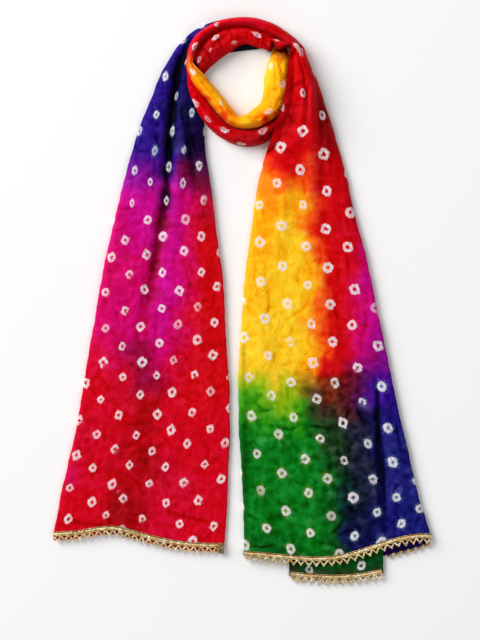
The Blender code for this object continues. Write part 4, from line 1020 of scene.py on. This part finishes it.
class LaceMaker:
    """Collects the vertices and faces of one lace, sewn along a hem between two values of x.

    Places are given by length along the hem, u, and by height up the cloth, v.
    """

    def __init__(self, name, hem, first_x, last_x, cloth, below, droop, banded, turned):
        self.name, self.cloth, self.below, self.droop = name, cloth, below, droop
        self.banded, self.turned = banded, turned
        fine = np.linspace(first_x, last_x, 500)
        self.line = np.column_stack([fine, hem_line(hem, fine)])
        self.along = lengths(self.line)
        self.length = self.along[-1]
        self.tooth = LACE_TOOTH if banded else BARE_TOOTH
        self.points, self.raised, self.faces = [], [], []
        self.count = 0

    def place(self, u, v):
        """The x and y of places u along the hem and v above it."""
        def on_line(at):
            return np.array([np.interp(at, self.along, self.line[:, k]) for k in (0, 1)])

        x, y = on_line(u)
        run_x, run_y = on_line(u + 2.0) - on_line(u - 2.0)
        length = np.hypot(run_x, run_y)
        return x - run_y / length * v, y + run_x / length * v

    def add(self, u, v, lift, raised, faces):
        """Vertices that lie on the cloth above the hem and droop from it below, and their faces."""
        u, v, lift = (np.ravel(item) for item in (u, v, lift))
        x, y = self.place(u, v)
        on_cloth, edge = self.cloth.height(x, y), self.cloth.height(*self.place(u, np.full_like(v, 0.6)))
        floor = self.below.height(x, y) if self.below else FLOOR_GAP
        hung = np.maximum(edge - self.droop * smooth_step(-v / LACE_TOOTH), floor + 0.2)
        self.points.append(np.column_stack([x, y, np.where(v > 0.4, on_cloth, hung) + lift]))
        self.raised.append(np.broadcast_to(np.ravel(raised), u.shape))
        self.faces += [[int(k) + self.count for k in face] for face in faces]
        self.count += len(u)

    def ribbon(self):
        """The woven band: a flat shiny braid between two corded edges."""
        v = np.append(np.linspace(0.0, LACE_BAND, BAND_ROWS), [LACE_BAND, 0.0])
        u = np.linspace(0.0, self.length, int(self.length / BAND_STEP))
        u, v = np.meshgrid(u, v, indexing="ij")
        height = np.full_like(u, BAND_LOW)
        for centre, half, pitch, lean, base in BRAIDS:
            away = (v - centre) / half
            strand = 0.5 + 0.5 * np.cos(2 * math.pi * (u + lean * (v - centre)) / pitch)
            within = np.clip(1.0 - away ** 4, 0.0, 1.0)
            height = np.maximum(height, within * (base + (BAND_HIGH - base) * strand))
        # Painted shade: the low places between the strands are darker, and the back rows darkest.
        raised = np.clip((height - BAND_LOW) / 0.7, 0, 1)
        height[:, BAND_ROWS:] = raised[:, BAND_ROWS:] = BAND_BACK
        index = np.arange(u.size).reshape(u.shape)
        self.add(u, v, height, raised, [*tube_faces(index, True), index[0], index[-1, ::-1]])

    def cord(self, u, v, lift, radius, painted_brightness=1.0):
        """A round cord along a line of places."""
        run = np.column_stack([np.gradient(u), np.gradient(v)])
        run /= np.maximum(np.linalg.norm(run, axis=1), 1e-9)[:, None]
        turn = np.linspace(0.0, 2 * math.pi, CORD_SIDES, endpoint=False)
        radius = np.broadcast_to(radius, u.shape)[:, None]
        ring_u = u[:, None] - run[:, 1:2] * radius * np.cos(turn)
        ring_v = v[:, None] + run[:, 0:1] * radius * np.cos(turn)
        # Painted light: a cord's top is brighter than its sides; the bandless back lace gets painted shade.
        lit = (0.55 + 0.45 * np.sin(turn)) * (0.82 + 0.18 * np.cos(u * 2.6 + v * 1.9))[:, None]
        index = np.arange(ring_u.size).reshape(ring_u.shape)
        self.add(ring_u, ring_v, lift[:, None] + radius * np.sin(turn),
                 lit * (painted_brightness if self.banded else 0.55), [*tube_faces(index), index[0, ::-1], index[-1]])

    def bead(self, u, v, lift, radius):
        """A small round bead."""
        tilt = np.linspace(0.0, math.pi, BEAD_ROWS + 1)[1:-1, None]
        turn = np.linspace(0.0, 2 * math.pi, BEAD_SIDES, endpoint=False)
        ball = [np.sin(tilt) * np.cos(turn), np.sin(tilt) * np.sin(turn), np.cos(tilt) + 0.0 * turn]
        u, v, lift = (at + radius * np.append(part, poles)
                      for at, part, poles in zip((u, v, lift), ball, ([0, 0], [0, 0], [1, -1])))
        index = np.arange((BEAD_ROWS - 1) * BEAD_SIDES).reshape(-1, BEAD_SIDES)
        faces = list(tube_faces(index, True))
        for k in range(BEAD_SIDES):
            after = (k + 1) % BEAD_SIDES
            faces += [(index.size, k, after), (index.size + 1, index[-1, after], index[-1, k])]
        self.add(u, v, lift, 1.0, faces)

    def teeth(self):
        """The zigzag: a thick cord down and up, with a bead on each point and each return."""
        teeth = max(1, int(round(self.length / LACE_PITCH)))
        pitch = self.length / teeth
        chance = np.random.default_rng(teeth)
        share = np.concatenate([np.linspace(0.0, 0.46, 7), [0.5], np.linspace(0.54, 1.0, 7)])
        slant = 1.0 - np.abs(2.0 * share - 1.0)
        for left in np.arange(teeth) * pitch:
            drop = self.tooth * chance.uniform(0.86, 1.0)
            middle = left + pitch * chance.uniform(0.42, 0.58)
            u = np.where(share < 0.5, left + (middle - left) * share * 2,
                         middle + (left + pitch - middle) * (share * 2 - 1))
            v = np.minimum(0.8 - (drop - 1.4) * slant, 0.9)
            radius = LACE_CORD * (1.0 + 0.14 * np.cos(share * 62.0))
            self.cord(u, v, 1.15 + 0.12 * np.cos(share * 40.0), radius)
            self.bead(middle, 1.9 - drop, 1.3, POINT_BEAD)
            self.bead(left, -0.5, 1.1, RETURN_BEAD)

    def turned_end(self):
        """The end of the lace, turned back on itself and sewn down in a thick bunch."""
        v = np.linspace(0.4 - self.tooth, LACE_BAND - 0.6, 13)
        for step in range(4):
            u = self.length - 1.3 - 1.8 * step + 0.5 * np.sin(1.5 * v + 2.0 * step)
            self.cord(u, v, 2.3 + 0.5 * np.sin(1.2 * v + 1.7 * step), TURNED_CORD, painted_brightness=0.48)

    def build(self, material):
        """The finished object."""
        if self.banded:
            self.ribbon()
        self.teeth()
        if self.turned:
            self.turned_end()
        return finished(self.name, np.concatenate(self.points), self.faces, material, LACE_SHARP,
                        raised=np.concatenate(self.raised)[:, None])


def dress():
    """Lay the stretches in the order in which they lie on each other, then sew on the lace."""
    silks = {name: silk(name) for name in ("cloth_left_tail", "cloth_violet", "cloth_red", "cloth_yellow",
                                           "cloth_right_tail", "cloth_green", "cloth_navy")}
    gold = gilt("lace_gold")
    skins, made = {}, {}

    def heap(reach, *names):
        return Heap([skins[name] for name in names], reach)

    def mine(piece, node):
        """The piece rides on the part and stands for its plain solid."""
        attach(piece, "root")
        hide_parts(node)
        made[node] = piece

    def lay(name, rows, form, heaps, slot, ties, pools, ghosts=(), heart=WHITE, **shape):
        """One stretch. Its ties are rows of a lattice, or listed ones with a seed."""
        skins[name] = skin = Skin(name, rows, form, heaps, **shape)
        skin.tie(skin.placed(*ties) if isinstance(ties, tuple) else ties)
        mine(skin.build(silks[slot], pools, ghosts, heart), name)

    def hem(points, rows, reach, end):
        return Hem(points, rows[-1].outer_y, reach, end)

    floor = [heap(0.0)]
    creased = {"folds": ROLL_FOLDS, "creases": ROLL_CREASES}
    lay("left_tail", LEFT_TAIL, TAIL_FORM, floor, "cloth_left_tail",
        lattice(spacing=55.0, row_pitch=26.5, first=4.0, last=760.0, half_width=150.0, tilt=-0.06,
                knots=SQUARE_KNOTS, seed=SPOT_SEED, gathered=240.0),
        LEFT_DYES, LEFT_GHOSTS, folds=LEFT_FOLDS, creases=LEFT_CREASES, waves=(1.7, 1.7),
        hem=hem(LEFT_HEM, LEFT_TAIL, TAIL_HEM_REACH, LEDGED), shades=LEFT_PAINTED_SHADE)
    lay("nape_under", NAPE_UNDER, ROLL_FORM, floor, "cloth_violet", (UNDER_TIES, 1), UNDER_DYES,
        folds=LEFT_FOLDS, shades=UNDER_PAINTED_SHADE)
    lay("back_layer", BACK_LAYER, SHEET_FORM, floor, "cloth_navy",
        lattice(spacing=68.0, row_pitch=29.0, first=8.0, last=470.0, half_width=90.0, tilt=0.0,
                knots=ROUND_KNOTS, seed=SPOT_SEED + 1),
        BACK_DYES, creases=HEM_CREASES, hem=hem(BACK_HEM, BACK_LAYER, SHEET_HEM_REACH, ROUNDED))
    lay("tucked_fold", TUCKED_FOLD, SHEET_FORM, [heap(SHEET_REACH, "back_layer")], "cloth_green",
        (TUCKED_TIES, 2, False), TUCKED_DYES, heart=LIME, creases=HEM_CREASES,
        hem=hem(TUCKED_HEM, TUCKED_FOLD, SHEET_HEM_REACH, ROUNDED))

    ring = [heap(ROLL_REACH, "left_tail", "nape_under")]
    lay("nape_inner", NAPE_INNER, ROLL_FORM, ring, "cloth_red", (INNER_TIES, 3), INNER_DYES,
        waves=(0.0, 1.6), trims=(CREASE_TRIM, 0.0), **creased)
    lay("throat_lower", THROAT_LOWER, ROLL_FORM, ring, "cloth_red", (LOWER_TIES, 4), LOWER_DYES,
        waves=(1.2, 0.0), trims=(0.0, CREASE_TRIM), **creased)
    lay("throat_upper", THROAT_UPPER, ROLL_FORM, [heap(TIGHT_REACH, "left_tail", "nape_under", "nape_inner")],
        "cloth_yellow", (UPPER_TIES, 5), UPPER_DYES, heart=YELLOW, waves=(0.0, 2.0), **creased)
    lay("nape_outer", NAPE_OUTER, ROLL_FORM, ring, "cloth_red", (NAPE_TIES, 6), NAPE_DYES,
        waves=(1.2, 0.0), **creased)
    lay("crossing_fold", CROSSING_FOLD, ROLL_FORM,
        [heap(ROLL_REACH, "nape_under", "nape_inner", "throat_upper")], "cloth_red", (CROSSING_TIES, 7),
        CROSSING_DYES, trims=(CREASE_TRIM, 0.0), **creased)
    lay("right_tail", RIGHT_TAIL, TAIL_FORM,
        [heap(SHEET_REACH, "back_layer", "tucked_fold"),
         heap(WIDE_REACH, "throat_lower", "throat_upper", "crossing_fold")], "cloth_right_tail",
        lattice(spacing=68.0, row_pitch=29.0, first=6.0, last=800.0, half_width=150.0, tilt=-0.07,
                knots=ROUND_KNOTS, seed=SPOT_SEED + 3, gathered=120.0),
        RIGHT_DYES, RIGHT_GHOSTS, YELLOW, folds=RIGHT_FOLDS, creases=RIGHT_CREASES, waves=(1.7, 1.7),
        hem=hem(RIGHT_HEM, RIGHT_TAIL, TAIL_HEM_REACH, LAYERED), shades=RIGHT_PAINTED_SHADE)

    for name, points, first_x, last_x, cloth, below, droop, banded, turned in (
            ("lace_left", LEFT_HEM, -283.0, -28.0, "left_tail", (), 1.6, True, True),
            ("lace_tucked", TUCKED_HEM, 71.5, 209.5, "tucked_fold", (), 1.5, True, False),
            ("lace_back", BACK_HEM, 215.0, 281.5, "back_layer", (), 1.0, False, False),
            ("lace_right", RIGHT_HEM, 2.8, 283.0, "right_tail", ("back_layer", "tucked_fold"),
             2.6, True, False)):
        maker = LaceMaker(name, points, first_x, last_x, heap(LACE_REACH, cloth),
                          heap(LACE_REACH, *below) if below else None, droop, banded, turned)
        mine(maker.build(gold), name)
    return made


def studio():
    """Pale floor, soft light from the upper left, and a camera straight above."""
    scene = bpy.context.scene
    scene.view_settings.view_transform = "Standard"
    mesh = bpy.data.meshes.new("floor")
    corners = [(x * FLOOR_HALF, y * FLOOR_HALF, 0.0) for x, y in ((-1, -1), (1, -1), (-1, 1), (1, 1))]
    mesh.from_pydata(corners, [], [(0, 1, 3, 2)])
    paper = {"Base Color": (0.93, 0.925, 0.925, 1.0), "Roughness": 0.95}
    mesh.materials.append(Graph("paper").surface(paper))
    linked("floor", mesh)

    scene.world = bpy.data.worlds.new("studio")
    scene.world.use_nodes = True
    sky = scene.world.node_tree.nodes["Background"].inputs
    sky["Color"].default_value = (1.0, 1.0, 1.0, 1.0)
    sky["Strength"].default_value = SKY_STRENGTH

    for name, place, width, watts in LIGHTS:
        light = bpy.data.lights.new(name, "AREA")
        light.shape = "DISK"
        light.size = width
        light.energy = watts
        lamp = linked(name, light)
        lamp.location = place
        lamp.rotation_euler = (-Vector(place)).to_track_quat("-Z", "Y").to_euler()

    camera = bpy.data.cameras.new("camera")
    camera.sensor_width = SENSOR
    camera.lens = SENSOR * CAMERA_HEIGHT / FRAME_HEIGHT
    camera.clip_end = FAR_SIGHT
    scene.camera = linked("camera", camera)
    scene.camera.location = (FRAME_X * MM, FRAME_Y * MM, CAMERA_HEIGHT * MM)


studio()
dress()
